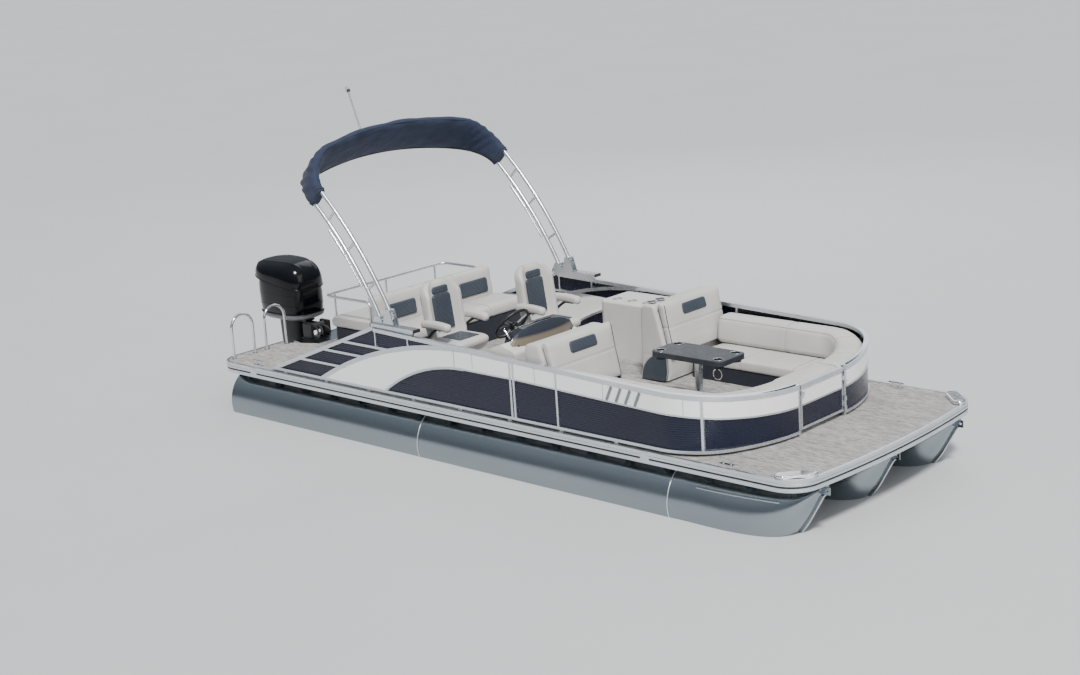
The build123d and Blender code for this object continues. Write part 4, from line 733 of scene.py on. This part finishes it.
def make_wing(name, side, pad, low, high):
    """The slate quarter-round on a chaise's inner side, its welt, and the welt up the front."""
    y = side * (high.y + 0.0005)
    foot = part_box("chaise_cushion_starboard")[1].x - 0.050
    outline = [(low.x + 0.02, DECK + 0.012)]
    for i in range(19):
        turn = pi / 2 * i / 18
        outline.append((foot - 0.03 - (foot - low.x - 0.05) * cos(turn),
                        DECK + 0.014 + 0.255 * sin(turn)))
    front = ((0.012, 0.266), (0.003, 0.255), (0, 0.24), (0, 0.10), (0.012, 0.045), (0.045, 0.012))
    outline += [(foot - back, DECK + up) for back, up in front]
    rings = [
        [Vector((x, y + side * out, z)) for x, z in shrunk(outline, inset)]
        for out, inset in ((-0.010, 0), (0.004, 0), (0.007, 0.004), (0.008, 0.010))
    ]
    loft(f"chaise_wing_{name}", rings, "slate", smooth=50)
    edge = [Vector((x, y + side * 0.007, z)) for x, z in outline[1:-1]]
    tube(f"chaise_wing_welt_{name}", edge, 0.004, "piping")
    across = side * (high.y - 0.045)
    seam(f"chaise_front_welt_{name}", pad, (1.2, across, DECK + 0.25), (1.2, across, DECK + 0.70), -FORE,
         0.0042, "slate")


def make_chaises():
    """The upholstered chaise blocks with their cushions, wings, headrests and cup wells."""
    low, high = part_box("chaise_shell_starboard")
    shell = puffed("chaise_body_starboard", "chaise_shell_starboard", 0.007,
                   [(2, DECK + 0.235, 0.012, 0.004)], shrink=0.004)
    port_twin(shell, "chaise_body_port", "chaise_shell_port")
    pad = puffed("chaise_pad_starboard", "chaise_cushion_starboard", 0.012,
                 [(2, DECK + 0.50, 0.016, 0.008)], voxel=0.018)
    twin = port_twin(pad, "chaise_pad_port", "chaise_cushion_port")
    make_wing("starboard", 1, pad, low, high)
    make_wing("port", -1, twin, low, high)
    centre_y = middle("chaise_cushion_starboard").y
    hit = skin(pad.data).ray_cast(Vector((2.0, centre_y, DECK + 0.625)), -FORE, 3)
    for side, name in ((1, "starboard"), (-1, "port")):
        spot = Vector((hit[0].x + 0.001, side * centre_y, hit[0].z))
        quilt(f"chaise_headrest_{name}", spot, PORT, (-0.30, 0, 1), 0.34, 0.10, 0.010, pitch=0.05)
    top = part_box("chaise_shell_port")[1].z
    for number, y in enumerate((0.42, 0.54)):
        x = low.x + 0.085
        dome_at(f"chaise_cup_well_{number}", (x, y, top - 0.001), UP, 0.040, 0.004, "black")
        ring_at(f"chaise_cup_ring_{number}", (x, y, top + 0.004), UP, 0.042, 0.0035)


def row_of_seats(name, shares, start_in, end_in):
    """A cushion across the boat, with a drawn-in seam and a welt at each share of its width."""
    low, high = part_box(name)
    cuts = [low.y + (high.y - low.y) * share for share in shares]
    pad = puffed(f"{name}_cushion", name, 0.012, [(1, cut, 0.014, 0.008) for cut in cuts])
    for number, cut in enumerate(cuts):
        seam(f"{name}_welt_{number}", pad, (low.x + start_in, cut, 1), (high.x - end_in, cut, 1), -UP)
    return cuts


def make_aft_lounge():
    """The aft bench, its back with slate panels, and the sun pad."""
    cuts = row_of_seats("aft_seat", (1 / 3, 2 / 3), 0.01, 0.02)
    low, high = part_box("aft_back")
    back = puffed("aft_back_cushion", "aft_back", seams=[(1, cut, 0.014, 0.006) for cut in cuts])
    slope = Vector((-0.05, 0, high.z - low.z))
    edges = [low.y + 0.07] + cuts + [high.y - 0.07]
    for number, (start, end) in enumerate(zip(edges, edges[1:])):
        spot = Vector((high.x - 0.016, (start + end) / 2, (low.z + high.z) / 2 + 0.012))
        quilt(f"aft_back_insert_{number}", spot, PORT, slope, end - start - 0.07, 0.15, 0.013)
    for number, cut in enumerate(cuts):
        seam(f"aft_back_welt_{number}", back, (low.x + 0.02, cut, 1.2), (high.x - 0.07, cut, 1.2), -UP)
    row_of_seats("sun_pad", (0.25, 0.5, 0.75), 0.02, 0.01)


# Chairs


def make_chair(name, body):
    """A captain's chair: tub, cushion with a quilted insert, winged back and padded arms."""
    low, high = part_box(name)
    x, y, top = middle(name + "_pedestal").x, (low.y + high.y) / 2, DECK + 0.43
    rings = []
    for up, half_x, half_y, shift in (
        (-0.142, 0.150, 0.150, -0.02), (-0.128, 0.190, 0.185, -0.01), (-0.100, 0.208, 0.205, 0.0),
        (-0.070, 0.215, 0.210, 0.004),
    ):
        rings.append(place(oval(half_x, half_y, 5), (x + shift, y, top + up)))
    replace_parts(loft(f"{name}_tub", rings, "moulded", body, smooth=50), name)
    rings = []
    for up, grow, nose in (
        (-0.072, -0.012, 0.0), (-0.062, 0.0, 0.004), (-0.030, 0.002, 0.008), (-0.012, -0.002, 0.004),
        (0.0, -0.016, -0.006), (0.007, -0.050, -0.03), (0.010, -0.10, -0.06), (0.011, -0.19, -0.10),
    ):
        outline = oval(0.215 + grow, 0.212 + grow, 5.5)
        rings.append(place(outline, (x + 0.008 + nose * 0.5, y, top + up - 0.008)))
    padded(loft(f"{name}_cushion", rings, "vinyl", body, smooth=60))
    quilt(f"{name}_seat_insert", (x + 0.03, y, top - 0.004), FORE, PORT, 0.26, 0.27, 0.010, body)
    make_back(name, body, x, y, top)
    for side in (-1, 1):
        make_arm(name, body, x, y + side * 0.245, top, side)


def make_back(name, body, x, y, top):
    """The chair's back: its sides come forward as wings round a quilted panel."""
    low, tall, steps = -0.085, 0.575, 22
    rings = []
    fronts = []
    for i in range(steps + 1):
        share = i / steps
        rise = low + tall * share
        lean = x - 0.185 - 0.065 * max(0, rise) / 0.49 - 0.012 * sin(share * pi)
        cap = max(0.0, (share - 0.80) / 0.20)
        half_w = (0.212 + 0.010 * sin(share * pi)) * (1 - 0.42 * (1 - (1 - cap ** 2) ** 0.5))
        half_w *= 0.93 + 0.07 * min(1, share * 6)
        half_d = 0.046 * (1 - 0.65 * (1 - (1 - min(0.98, cap) ** 3) ** 0.5))
        ring = []
        for u, v in oval(half_w, half_d, 3.2, 56):
            wing = blend_in(abs(u), half_w * 0.52, half_w * 0.90) * 0.078 * (1 - 0.8 * cap)
            forward = v + (wing if v > 0 else wing * 0.45)
            if v < 0:
                forward -= 0.016 * (1 - (u / half_w) ** 2)
            ring.append(Vector((lean + forward, y + u, top + rise)))
        rings.append(ring)
        fronts.append((lean + half_d + 0.062, top + rise))
    padded(loft(f"{name}_back", rings, "vinyl", body, smooth=60))
    slope = (-0.065, 0, 0.49)
    quilt(f"{name}_back_insert", (x - 0.173, y, top + 0.205), PORT, slope, 0.225, 0.33, 0.012, body,
          bulge=lambda u, v: 0.010 * (abs(u) / 0.11) ** 2)
    quilt(f"{name}_headrest", (x - 0.196, y, top + 0.410), PORT, slope, 0.20, 0.07, 0.014, body, 0.04)
    for side in (-1, 1):
        edge = [(front, y + side * 0.193, z) for front, z in fronts[1:18]]
        tube(f"{name}_wing_welt_{tag(side)}", edge, WELT, "piping", body, 8)


def make_arm(name, body, x, y, top, side):
    """A padded arm on its bent bracket."""
    rings = []
    for i in range(17):
        share = i / 16
        end = min(share, 1 - share) * 0.36
        size = max(0.12, (1 - (1 - min(1, end / 0.030)) ** 2)) ** 0.5
        at = (x - 0.20 + 0.355 * share, y, top + 0.138 + 0.012 * sin(share * pi) - 0.006 * share)
        rings.append(place(oval(0.040 * size, 0.036 * size, 2.8, 28), at, PORT, UP))
    padded(loft(f"{name}_arm_{tag(side)}", rings, "vinyl", body, smooth=60))
    curve = []
    for i in range(13):
        share = i / 12
        rise = -0.06 + 0.170 * min(1, share * 1.35) ** 0.8
        curve.append((x - 0.175 + 0.25 * share ** 1.6, y - side * 0.012, top + rise))
    tube(f"{name}_arm_bracket_{tag(side)}", curve, 0.013, "black", body, 12)


# Arch canvas


def crown_points(count):
    """Points of the hoops' crosspiece in its own plane: across, up, and the outward direction."""
    arch_y = -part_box("arch_frame")[0].y - 0.023
    side = arch_y - SHOULDER_RADIUS * (1 - cos(SHOULDER_TURN))
    up = SHOULDER_RADIUS * sin(SHOULDER_TURN)
    broad = side / cos(SHOULDER_TURN)
    shoulder = []
    for i in range(count):
        angle = SHOULDER_TURN * i / count
        c, s = cos(angle), sin(angle)
        shoulder.append((-arch_y + SHOULDER_RADIUS * (1 - c), SHOULDER_RADIUS * s, -c, s))
    found = list(shoulder)
    for i in range(count * 3 + 1):
        angle = SHOULDER_TURN + CROWN_TURN * i / (count * 3)
        c, s = cos(angle), sin(angle)
        found.append((-broad * c, up + broad * (s - sin(SHOULDER_TURN)), -c, s))
    return found + [(-y, rise, -out_y, out_up) for y, rise, out_y, out_up in reversed(shoulder)]


def canvas_origin():
    """The middle between the legs' tops, halfway between the hoops."""
    reach = LEG_RADIUS + HOOP_GAP / 2
    x = ARCH_FOOT[0] - LEG_RADIUS * cos(ARCH_FOOT_ANGLE) + reach * cos(ARCH_LEAN)
    z = ARCH_FOOT[1] - LEG_RADIUS * sin(ARCH_FOOT_ANGLE) + reach * sin(ARCH_LEAN)
    return Vector((x, 0, z))


def make_canvas():
    """The furled canvas in its boot, wrapped round both hoops, with creases at the shoulders."""
    ahead = Vector((cos(ARCH_LEAN), 0, sin(ARCH_LEAN)))
    up = Vector((-sin(ARCH_LEAN), 0, cos(ARCH_LEAN)))
    origin = canvas_origin()
    line = [(origin + PORT * y + up * rise, PORT * out_y + up * out_up)
            for y, rise, out_y, out_up in crown_points(22)]
    total = len(line) - 1
    rings, edge_low, edge_high = [], [], []
    for i, (centre, out) in enumerate(line):
        share = i / total
        shoulder = max(0, 1 - min(abs(share - 0.10), abs(share - 0.90)) / 0.10)
        narrow = 0.54 + 0.46 * blend_in(min(i, total - i) / total, 0.0, 0.20)
        ring = []
        for u, v in oval(BOOT_HALF * narrow, 0.046, 3.0, 64):
            wave = sin(share * 170 + u * 34 * (1 if share < 0.5 else -1))
            crease = 0.0115 * shoulder * wave * (1 if v > 0 else 0.5)
            crease += 0.0060 * noise.noise(Vector((u * 9, share * 26, v * 9)))
            slack = 0.004 * sin(share * 34 + u * 8) * (1 - shoulder)
            sag = (-0.006 if v < 0 else 0.005) * cos(pi * u / 0.42)
            ring.append(centre + ahead * u + out * (v + sag + crease + slack))
        rings.append(ring)
        edge_high.append(centre + ahead * 0.196 * narrow - out * 0.016)
        edge_low.append(centre - ahead * 0.194 * narrow - out * 0.022)
    padded(loft("canvas_boot", rings, "canvas", "arch", smooth=60), "arch_canvas")
    tube("canvas_binding_lower", edge_low, 0.0095, "binding", "arch")
    tube("canvas_welt_upper", edge_high, 0.0045, "canvas", "arch")
    for at, name in ((1, "starboard"), (total - 1, "port")):
        centre, out = line[at]
        strap = place(oval(BOOT_HALF * 0.56, 0.050, 3.0, 48), centre, ahead, out)
        tube(f"canvas_drawcord_{name}", strap, 0.0050, "binding", "arch", 8, True)


def make_mast_cap():
    """The black cap and lens on top of the light mast."""
    points = [v.co for v in nodes["light_mast"].data.vertices]
    peak = max(p.z for p in points)
    tips = [p for p in points if p.z > peak - 0.012]
    tip = sum(tips, Vector()) / len(tips)
    lean = Vector((-sin(radians(20)), 0, cos(radians(20))))
    dome_at("light_mast_cap", tip - lean * 0.050, lean, 0.0185, 0.030, "black", "arch", 24)
    dome_at("light_mast_lens", tip - lean * 0.022, lean, 0.0150, 0.022, "white", "arch", 24)


# Fence and deck edge


def make_ribbed_panels():
    """The navy panels with their fine horizontal ribs."""
    for node in ("fence_panels_starboard", "fence_panels_port"):
        low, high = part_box(node)
        work = bmesh.new()
        work.from_mesh(nodes[node].data)
        bmesh.ops.remove_doubles(work, verts=work.verts, dist=1e-5)
        cuts = int((high.z - low.z) / RIB_PITCH * 4)
        for i in range(1, cuts):
            z = low.z + (high.z - low.z) * i / cuts
            parts = work.verts[:] + work.edges[:] + work.faces[:]
            bmesh.ops.bisect_plane(work, geom=parts, dist=1e-6, plane_co=(0, 0, z), plane_no=UP)
        for vertex in work.verts:
            wave = sin(2 * pi * vertex.co.z / RIB_PITCH)
            vertex.co += outward(vertex.co.x, vertex.co.y) * wave * RIB_DEPTH
        mesh = bpy.data.meshes.new(node + "_ribbed")
        work.to_mesh(mesh)
        work.free()
        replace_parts(dressed(node + "_ribbed", mesh, "navy", smooth=32), node)


def make_fence_trim():
    """Joint lines in the white band, and bolts at the feet."""
    line = fence_plan(0.0155, FENCE_FROM_X, 0.02)
    for side, found in ((1, line), (-1, flipped(line))):
        for number, x in enumerate(BAND_JOINTS):
            point, normal = min(found, key=lambda item: abs(item[0].x - x))
            along = Vector((-normal.y, normal.x, 0))
            high, low = DECK + top_at(x) - 0.036, DECK + top_at(x) - 0.168
            slab(f"band_joint_{tag(-side)}_{number}", (point.x, point.y, (low + high) / 2),
                 (0.0035, 0.002, high - low), 0.0008, "joint", axes=(along, normal, UP))
        foot = -2.50
        number = 0
        while foot < TURN_X - 0.02:
            for shift, end in ((-0.0144, "a"), (0.0144, "b")):
                spot = (foot + shift, -side * (FENCE_Y + 0.0175), DECK + 0.012)
                dome_at(f"foot_bolt_{tag(-side)}_{number}_{end}", spot, (0, -side, 0), 0.0045, 0.003,
                        "chrome", turns=12)
            foot += FOOT_PITCH
            number += 1


def make_lining():
    """The navy inner skin behind the white bands."""
    tall, thick = 0.155, 0.0012
    line = [item for item in fence_plan(0.0062, FENCE_FROM_X, 0.03)
            if item[0].x <= TURN_X or item[0].y <= POST_Y - 0.012]
    for name, found in (("starboard", line), ("port", flipped(line))):
        rings = []
        for point, normal in found:
            far = max(0.0, point.x - (GATE_X - 0.62)) / 0.62
            top = DECK + top_at(point.x) - 0.020 - 0.030 * far * far
            rings.append([point + normal * out + UP * z for out, z in (
                (0, top - tall), (0, top), (thick, top), (thick, top - tall))])
        loft(f"fence_lining_{name}", rings, "navy", smooth=30)
    low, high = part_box("bow_gate_band")
    centre = middle("bow_gate_band")
    slab("gate_lining", (low.x - 0.002, centre.y, centre.z),
         (0.002, high.y - low.y - 0.004, high.z - low.z - 0.004), 0.0008, "navy", "bow_gate")


def make_slide_caps():
    """Black caps on the ends of the rails that carry the arch."""
    low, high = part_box("arch_mounts")
    ends = [v.co.z for v in nodes["arch_mounts"].data.vertices if v.co.x > high.x - 0.001]
    size = (0.012, 0.086, max(ends) - min(ends) + 0.003)
    for side in (-1, 1):
        for x, end in ((high.x + 0.004, "fore"), (low.x - 0.004, "aft")):
            spot = (x, side * (high.y - 0.042), (min(ends) + max(ends)) / 2)
            slab(f"slide_cap_{tag(side)}_{end}", spot, size, 0.004, "black")


def make_rub_rail_trim():
    """Sleeves over the rub rail's joints, and a row of small fasteners."""
    low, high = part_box("rub_rail")
    for side in (1, -1):
        for number, x in enumerate((-2.95, 1.95)):
            spot = (x, -side * (high.y - 0.0125), (low.z + high.z) / 2)
            slab(f"rub_sleeve_{tag(-side)}_{number}", spot, (0.09, 0.026, high.z - low.z + 0.003), 0.004,
                 "rail")
        for number in range(15):
            spot = (-3.05 + number * 0.42, -side * (high.y - 0.010), high.z - 0.0005)
            dome_at(f"rub_screw_{tag(-side)}_{number}", spot, UP, 0.007, 0.003, "chrome", turns=12)


def weld(name, node, x, directions, closed):
    """A bead of weld over a tube's skin, found by looking towards a place in it from all round."""
    centre = middle(node)
    centre.x = x
    tree = skin(nodes[node].data)
    hits = [tree.ray_cast(centre + out * 3, -out, 3)[0] for out in directions]
    points = [hit for hit in hits if hit is not None]
    tube(name, points, 0.0045, "weld", sides=8, closed=closed)


def strake(node, side):
    """The short spray strake welded along a tube's shoulder near its nose."""
    tree = skin(nodes[node].data)
    points = []
    for i in range(33):
        x = STRAKE_FROM + (STRAKE_TO - STRAKE_FROM) * i / 32
        start = Vector((x, middle(node).y + side * 0.6, STRAKE_UP + 0.010 * i / 32))
        hit = tree.ray_cast(start, PORT * -side, 0.6)
        if hit[0] is not None:
            points.append(hit[0])
    tube(f"{node}_strake_{tag(side)}", points, 0.0085, "rail", sides=8)


def make_hull_details():
    """Strakes, weld beads and drain plugs on the tubes."""
    around = [Vector((0, cos(2 * pi * i / 72), sin(2 * pi * i / 72))) for i in range(72)]
    ahead = [Vector((cos(radians(a)), 0, sin(radians(a)))) for a in range(-80, 14, 2)]
    for node in ("pontoon_starboard", "pontoon_port", "pontoon_centre"):
        strake(node, -1)
        strake(node, 1)
        for number, x in enumerate(TUBE_WELDS):
            weld(f"{node}_weld_{number}", node, x, around, True)
        weld(f"{node}_nose_seam", node, TUBE_WELDS[0], ahead, False)
        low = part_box(node)[0]
        spot = (low.x + 0.001, middle(node).y, low.z + 0.16)
        dome_at(f"{node}_plug", spot, -FORE, 0.020, 0.012, "chrome", turns=20)


# Helm, console and table details


def make_wheel():
    """The steering wheel: gripped rim, silver spokes and a hub cap."""
    centre = Vector((-0.085, -0.600, DECK + 0.640))
    tilt = radians(40)
    axis = Vector((-cos(tilt), 0, sin(tilt)))
    across = axis.cross(PORT)
    rim = []
    for i in range(96):
        angle = 2 * pi * i / 96
        radius = 0.0132 + (0.0014 * max(0, sin(angle * 24)) if sin(angle) < 0.75 else 0)
        out = PORT * cos(angle) + across * sin(angle)
        turns = [2 * pi * k / 16 for k in range(16)]
        rim.append([centre + out * (0.171 + radius * cos(a)) + axis * radius * sin(a) for a in turns])
    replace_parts(loft("wheel_rim", rim, "black", "wheel", closed=True, smooth=60), "steering_wheel")
    for number, angle in enumerate((90, 210, 330)):
        out = PORT * cos(radians(angle)) + across * sin(radians(angle))
        rings = []
        for share, half, depth in (
            (0.12, 0.024, -0.022), (0.35, 0.016, -0.018), (0.65, 0.013, -0.010), (0.94, 0.018, -0.002),
        ):
            spot = centre + out * 0.168 * share + axis * depth
            rings.append(place(oval(half, 0.0045, 4, 20), spot, axis.cross(out), axis))
        loft(f"wheel_spoke_{number}", rings, "rail", "wheel", smooth=50)
    hub = []
    for radius, depth in (
        (0.040, -0.045), (0.047, -0.038), (0.047, -0.020), (0.042, -0.011), (0.030, -0.006),
        (0.001, -0.005),
    ):
        hub.append(circle(centre + axis * depth, axis, radius, 40, PORT))
    loft("wheel_hub", hub, "black", "wheel", smooth=50)
    ring_at("wheel_hub_ring", centre - axis * 0.012, axis, 0.036, 0.0022, "wheel")


def make_helm_details():
    """Gauges, a display, switches, the throttle and a vent on the helm."""
    low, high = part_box("helm_dash")
    rise = Vector((0.150, 0, 0.080)).normalized()
    normal = Vector((-rise.z, 0, rise.x))
    face = Vector((low.x + 0.045, (low.y + high.y) / 2, DECK + 0.632)) + rise * 0.075
    slab("helm_display", face + PORT * 0.10 + normal * 0.006, (0.125, 0.19, 0.014), 0.006,
         "glass_black", axes=(rise, PORT, normal))
    for number, y in enumerate((-0.055, -0.165)):
        dome_at(f"gauge_face_{number}", face + PORT * y, normal, 0.042, 0.010, "glass_black")
        ring_at(f"gauge_bezel_{number}", face + PORT * y + normal * 0.009, normal, 0.043, 0.0035)
    slope = Vector((0.272, 0, 0.112)).normalized()
    facing = Vector((-slope.z, 0, slope.x))
    axes = (slope, PORT, facing)
    side_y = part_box("helm_console")[0].y
    for number in range(6):
        slab(f"helm_switch_{number}", (0.155, side_y + 0.055 + number * 0.030, DECK + 0.562),
             (0.034, 0.018, 0.016), 0.003, "black", axes=axes)
    base = Vector((0.17, side_y + 0.30, DECK + 0.585))
    slab("throttle_base", base, (0.11, 0.060, 0.030), 0.010, "black", axes=axes)
    bends = (0.01, 0), (0.06, 0.012), (0.115, 0.035)
    arm = [base + facing * out - slope * back for out, back in bends]
    tube("throttle_arm", arm, 0.008, "chrome", sides=14)
    slab("throttle_grip", base + facing * 0.125 - slope * 0.038, (0.030, 0.085, 0.028), 0.012, "black",
         axes=axes)
    slab("console_vent", (0.512, -0.90, DECK + 0.462), (0.012, 0.13, 0.030), 0.005, "black")
    for number in range(3):
        slab(f"console_vent_louvre_{number}", (0.5195, -0.90, DECK + 0.453 + number * 0.009),
             (0.004, 0.112, 0.004), 0.0015, "grey")


def screen_point(low, high, side, rise, tall):
    """A place on the screen's front: across from -1 to 1, and a share of its height there."""
    up = tall * rise
    x = high.x - 0.070 * side * side - 0.3 * up - 0.010 * rise ** 4
    return Vector((x, (low.y + high.y) / 2 + side * (high.y - low.y) / 2, low.z + up))


def make_screen():
    """The low smoked screen: bowed forward, with an arched upper edge and four studs."""
    low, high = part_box("wind_screen")
    rings = []
    for i in range(49):
        side = -1 + 2 * i / 48
        tall = 0.062 + 0.118 * max(0.0, 1 - abs(side) ** 2.2) ** 0.70
        front = [screen_point(low, high, side, k / 12, tall) for k in range(13)]
        rings.append(front + [point - FORE * 0.0055 for point in reversed(front)])
    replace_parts(loft("smoked_screen", rings, "screen", smooth=40), "wind_screen")
    for number, side in enumerate((-0.86, -0.30, 0.30, 0.86)):
        at = screen_point(low, high, side, 0.5, 0.056)
        dome_at(f"screen_stud_{number}", at, (1, 0.28 * side, 0.28), 0.010, 0.007, "black", turns=18)


def make_cup_rings():
    """Steel rings round the cup wells, and a tray on the port console."""
    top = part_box("table_top")[1].z + 0.0015
    centre = middle("table_top")
    for i, x in enumerate((-0.305, 0.305)):
        for j, y in enumerate((-0.120, 0.120)):
            ring_at(f"table_cup_ring_{i}{j}", (centre.x + x, centre.y + y, top), UP, CUP_RADIUS, 0.0035,
                    "table")
    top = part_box("port_console")[1].z
    for i, x in enumerate((-0.12, 0.06, 0.24)):
        ring_at(f"console_cup_ring_{i}", (x, 0.88, top + 0.0005), UP, CUP_RADIUS + 0.001, 0.0035)
    slab("console_tray", (0.46, 0.95, top + 0.002), (0.13, 0.26, 0.010), 0.004, "slate_hard")


def make_speakers():
    """Round speakers in the bow lounge's bases."""
    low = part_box("bow_base_starboard")[0]
    start = Vector((low.x + 0.28, 0.2, DECK + 0.066))
    face = skin(nodes["bow_base_starboard"].data).ray_cast(start, -PORT, 3)[0]
    for side in (1, -1):
        centre = Vector((start.x, side * face.y, start.z))
        facing = PORT * side
        ring_at(f"speaker_ring_{tag(-side)}", centre + facing * 0.003, facing, 0.048, 0.005)
        dome_at(f"speaker_grille_{tag(-side)}", centre, facing, 0.045, 0.006, "black")


# Outboard


def make_hoses():
    """Rigging hoses from the deck's edge to the motor's tilting bracket."""
    pin_x, pin_z, edge_z = -3.505, 0.575, 0.513
    hoses = ((-0.062, 0.088, 0.011), (-0.018, 0.102, 0.014), (0.040, 0.092, 0.012))
    for number, (y, reach, radius) in enumerate(hoses):
        points = []
        for i in range(19):
            share = i / 18
            turn = radians(8 + 82 * share)
            x = pin_x + 0.036 + reach * sin(turn) ** 0.9
            z = edge_z + (pin_z + 0.006 - edge_z) * cos(turn) ** 0.8
            points.append(Vector((x, y + 0.03 * share * (1 if y > 0 else -1), z)))
        hose = tube(f"rigging_hose_{number}", points, radius, "rubber", None, 12)
        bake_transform(hose)


def make_cowl():
    """The motor's hood and body: smooth skins over the solid, with a lip and two ridges."""
    low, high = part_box("motor_cowl")
    base = low.z
    x0 = (low.x + high.x) / 2 - 0.002
    rings = []
    for up, length, width, shift in (
        (0.000, 0.690, 0.440, 0.010), (0.010, 0.706, 0.450, 0.010), (0.120, 0.722, 0.461, 0.008),
        (0.220, 0.724, 0.462, 0.004), (0.300, 0.714, 0.456, 0.0), (0.375, 0.690, 0.440, 0.0),
        (0.405, 0.600, 0.380, 0.0),
    ):
        rings.append(place(oval(length / 2, width / 2, 3.0, 72), (x0 + shift, 0, base + up)))
    side = loft("cowl_body", rings, "gloss_black", "motor_steer", smooth=50)
    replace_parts(side, "motor_cowl")
    half_length, half_width = 0.382, 0.249
    rings = []
    for i in range(29):
        share = i / 28
        angle = share * pi / 2
        half_l = half_length * (cos(angle) ** 0.50 if share < 1 else 0) + 0.0015
        half_w = half_width * (cos(angle) ** 0.56 if share < 1 else 0) + 0.0015
        ring = []
        for u, v in oval(half_l, half_w, 3.0, 112):
            fore = u / half_length
            lip = 0.321 - 0.059 * fore + 0.010 * max(0, -fore) ** 4
            up = lip + (high.z - base - lip - 0.003) * sin(angle) ** 0.78
            away = abs(abs(v) - 0.150 + 0.045 * (fore + 0.3) ** 2)
            ridge = 0.0075 * max(0, 1 - away / 0.020) * min(1, sin(angle * 2) * 2) * (share < 0.93)
            flush = 0.014 * max(0, fore) ** 2 * (1 - share)
            ring.append(Vector((x0 + u - 0.044 * share ** 1.6 - flush, v, base + up + ridge)))
        rings.append(ring)
    under = [Vector((x0 + (p.x - x0) * 0.945, p.y * 0.945, p.z + 0.012)) for p in rings[0]]
    loft("cowl_hood", [under] + rings, "gloss_black", "motor_steer", smooth=60)
    lip_line = [p + UP * 0.004 for p in rings[0]]
    tube("cowl_lip", lip_line, 0.0055, "gloss_black", "motor_steer", 8, True)
    seal = place(oval(0.357, 0.228, 3.0, 72), (x0 + 0.010, 0, base + 0.001))
    tube("cowl_seal", seal, 0.006, "rubber", "motor_steer", 8, True)
    slab("cowl_latch", (low.x + 0.026, 0, base + 0.045), (0.016, 0.090, 0.040), 0.006, "black",
         "motor_steer")
    for side_y in (-1, 1):
        for number, up in enumerate((0.085, 0.195)):
            path = []
            for i in range(25):
                angle = radians(35 + 110 * i / 24)
                u, v = 0.3605 * swell(cos(angle), 3.0), 0.2305 * swell(sin(angle), 3.0) * side_y
                path.append((x0 + 0.008 + u, v, base + up + 0.02 * sin(radians(i * 7.5))))
            tube(f"cowl_line_{tag(side_y)}_{number}", path, 0.0022, "gloss_black", "motor_steer", 8)


# Stage


def make_camera():
    """The camera fitted to the photograph."""
    data = bpy.data.cameras.new("camera")
    data.sensor_width = 36
    data.lens = 60.5
    data.clip_end = 200
    camera = bpy.data.objects.new("camera", data)
    right = Vector((0.734717, 0.675365, -0.063820))
    down = Vector((0.123882, -0.226072, -0.966201))
    ahead = Vector((-0.666966, 0.701979, -0.249764))
    turn = Matrix((right, -down, -ahead)).transposed()
    camera.matrix_world = Matrix.Translation((10.780, -11.688, 5.016)) @ turn.to_4x4()
    bpy.context.scene.collection.objects.link(camera)
    bpy.context.scene.camera = camera


def make_light(name, data, at, aim, colour, energy):
    """Puts a light at a place and points it."""
    data.color = colour
    data.energy = energy
    built = bpy.data.objects.new(name, data)
    built.location = at
    built.rotation_euler = Vector(aim).to_track_quat("-Z", "Y").to_euler()
    bpy.context.scene.collection.objects.link(built)


def make_stage():
    """The pale floor, a sky that is lighter above, and soft studio lights."""
    size = 400.0
    mesh = bpy.data.meshes.new("floor")
    corners = [(-size, -size, 0), (size, -size, 0), (size, size, 0), (-size, size, 0)]
    mesh.from_pydata(corners, [], [(0, 1, 2, 3)])
    floor = bpy.data.objects.new("floor", mesh)
    bpy.context.scene.collection.objects.link(floor)
    floor.data.materials.append(
        surface("pale_floor", (0.54, 0.55, 0.56), (0.56, 0.57, 0.58), (0.6, 0.7), 0.4))
    world = bpy.data.worlds.new("studio")
    bpy.context.scene.world = world
    world.use_nodes = True
    tree = world.node_tree
    where = tree.nodes.new("ShaderNodeTexCoord")
    parts = tree.nodes.new("ShaderNodeSeparateXYZ")
    tree.links.new(where.outputs["Generated"], parts.inputs["Vector"])
    sky = tree.nodes.new("ShaderNodeValToRGB")
    low, high = sky.color_ramp.elements
    low.position, low.color = 0.02, (0.20, 0.23, 0.27, 1)
    high.position, high.color = 0.75, (0.82, 0.88, 0.96, 1)
    tree.links.new(parts.outputs["Z"], sky.inputs["Fac"])
    tree.links.new(sky.outputs["Color"], tree.nodes["Background"].inputs["Color"])
    tree.nodes["Background"].inputs["Strength"].default_value = 0.62
    sun = bpy.data.lights.new("sun", "SUN")
    sun.angle = radians(9)
    make_light("sun", sun, (0, 0, 0), (-5.0, 4.5, -9.0), (1.0, 0.975, 0.94), 4.7)
    for name, at, colour in (
        ("front", (12, -4, 7), (1.0, 0.99, 0.97)), ("back", (-6, 10, 9), (0.95, 0.97, 1.0)),
    ):
        panel = bpy.data.lights.new(name, "AREA")
        panel.size = 9.0
        make_light(name, panel, at, Vector((0, 0, 0.8)) - Vector(at), colour, 420)


make_stage()
make_camera()
make_bow_lounge()
make_chaises()
make_aft_lounge()
make_chair("helm_chair", "helm_seat")
make_chair("companion_chair", "companion_seat")
make_canvas()
make_mast_cap()
make_ribbed_panels()
make_fence_trim()
make_lining()
make_slide_caps()
make_hoses()
make_rub_rail_trim()
make_wheel()
make_helm_details()
make_screen()
make_cup_rings()
make_speakers()
make_cowl()
make_hull_details()
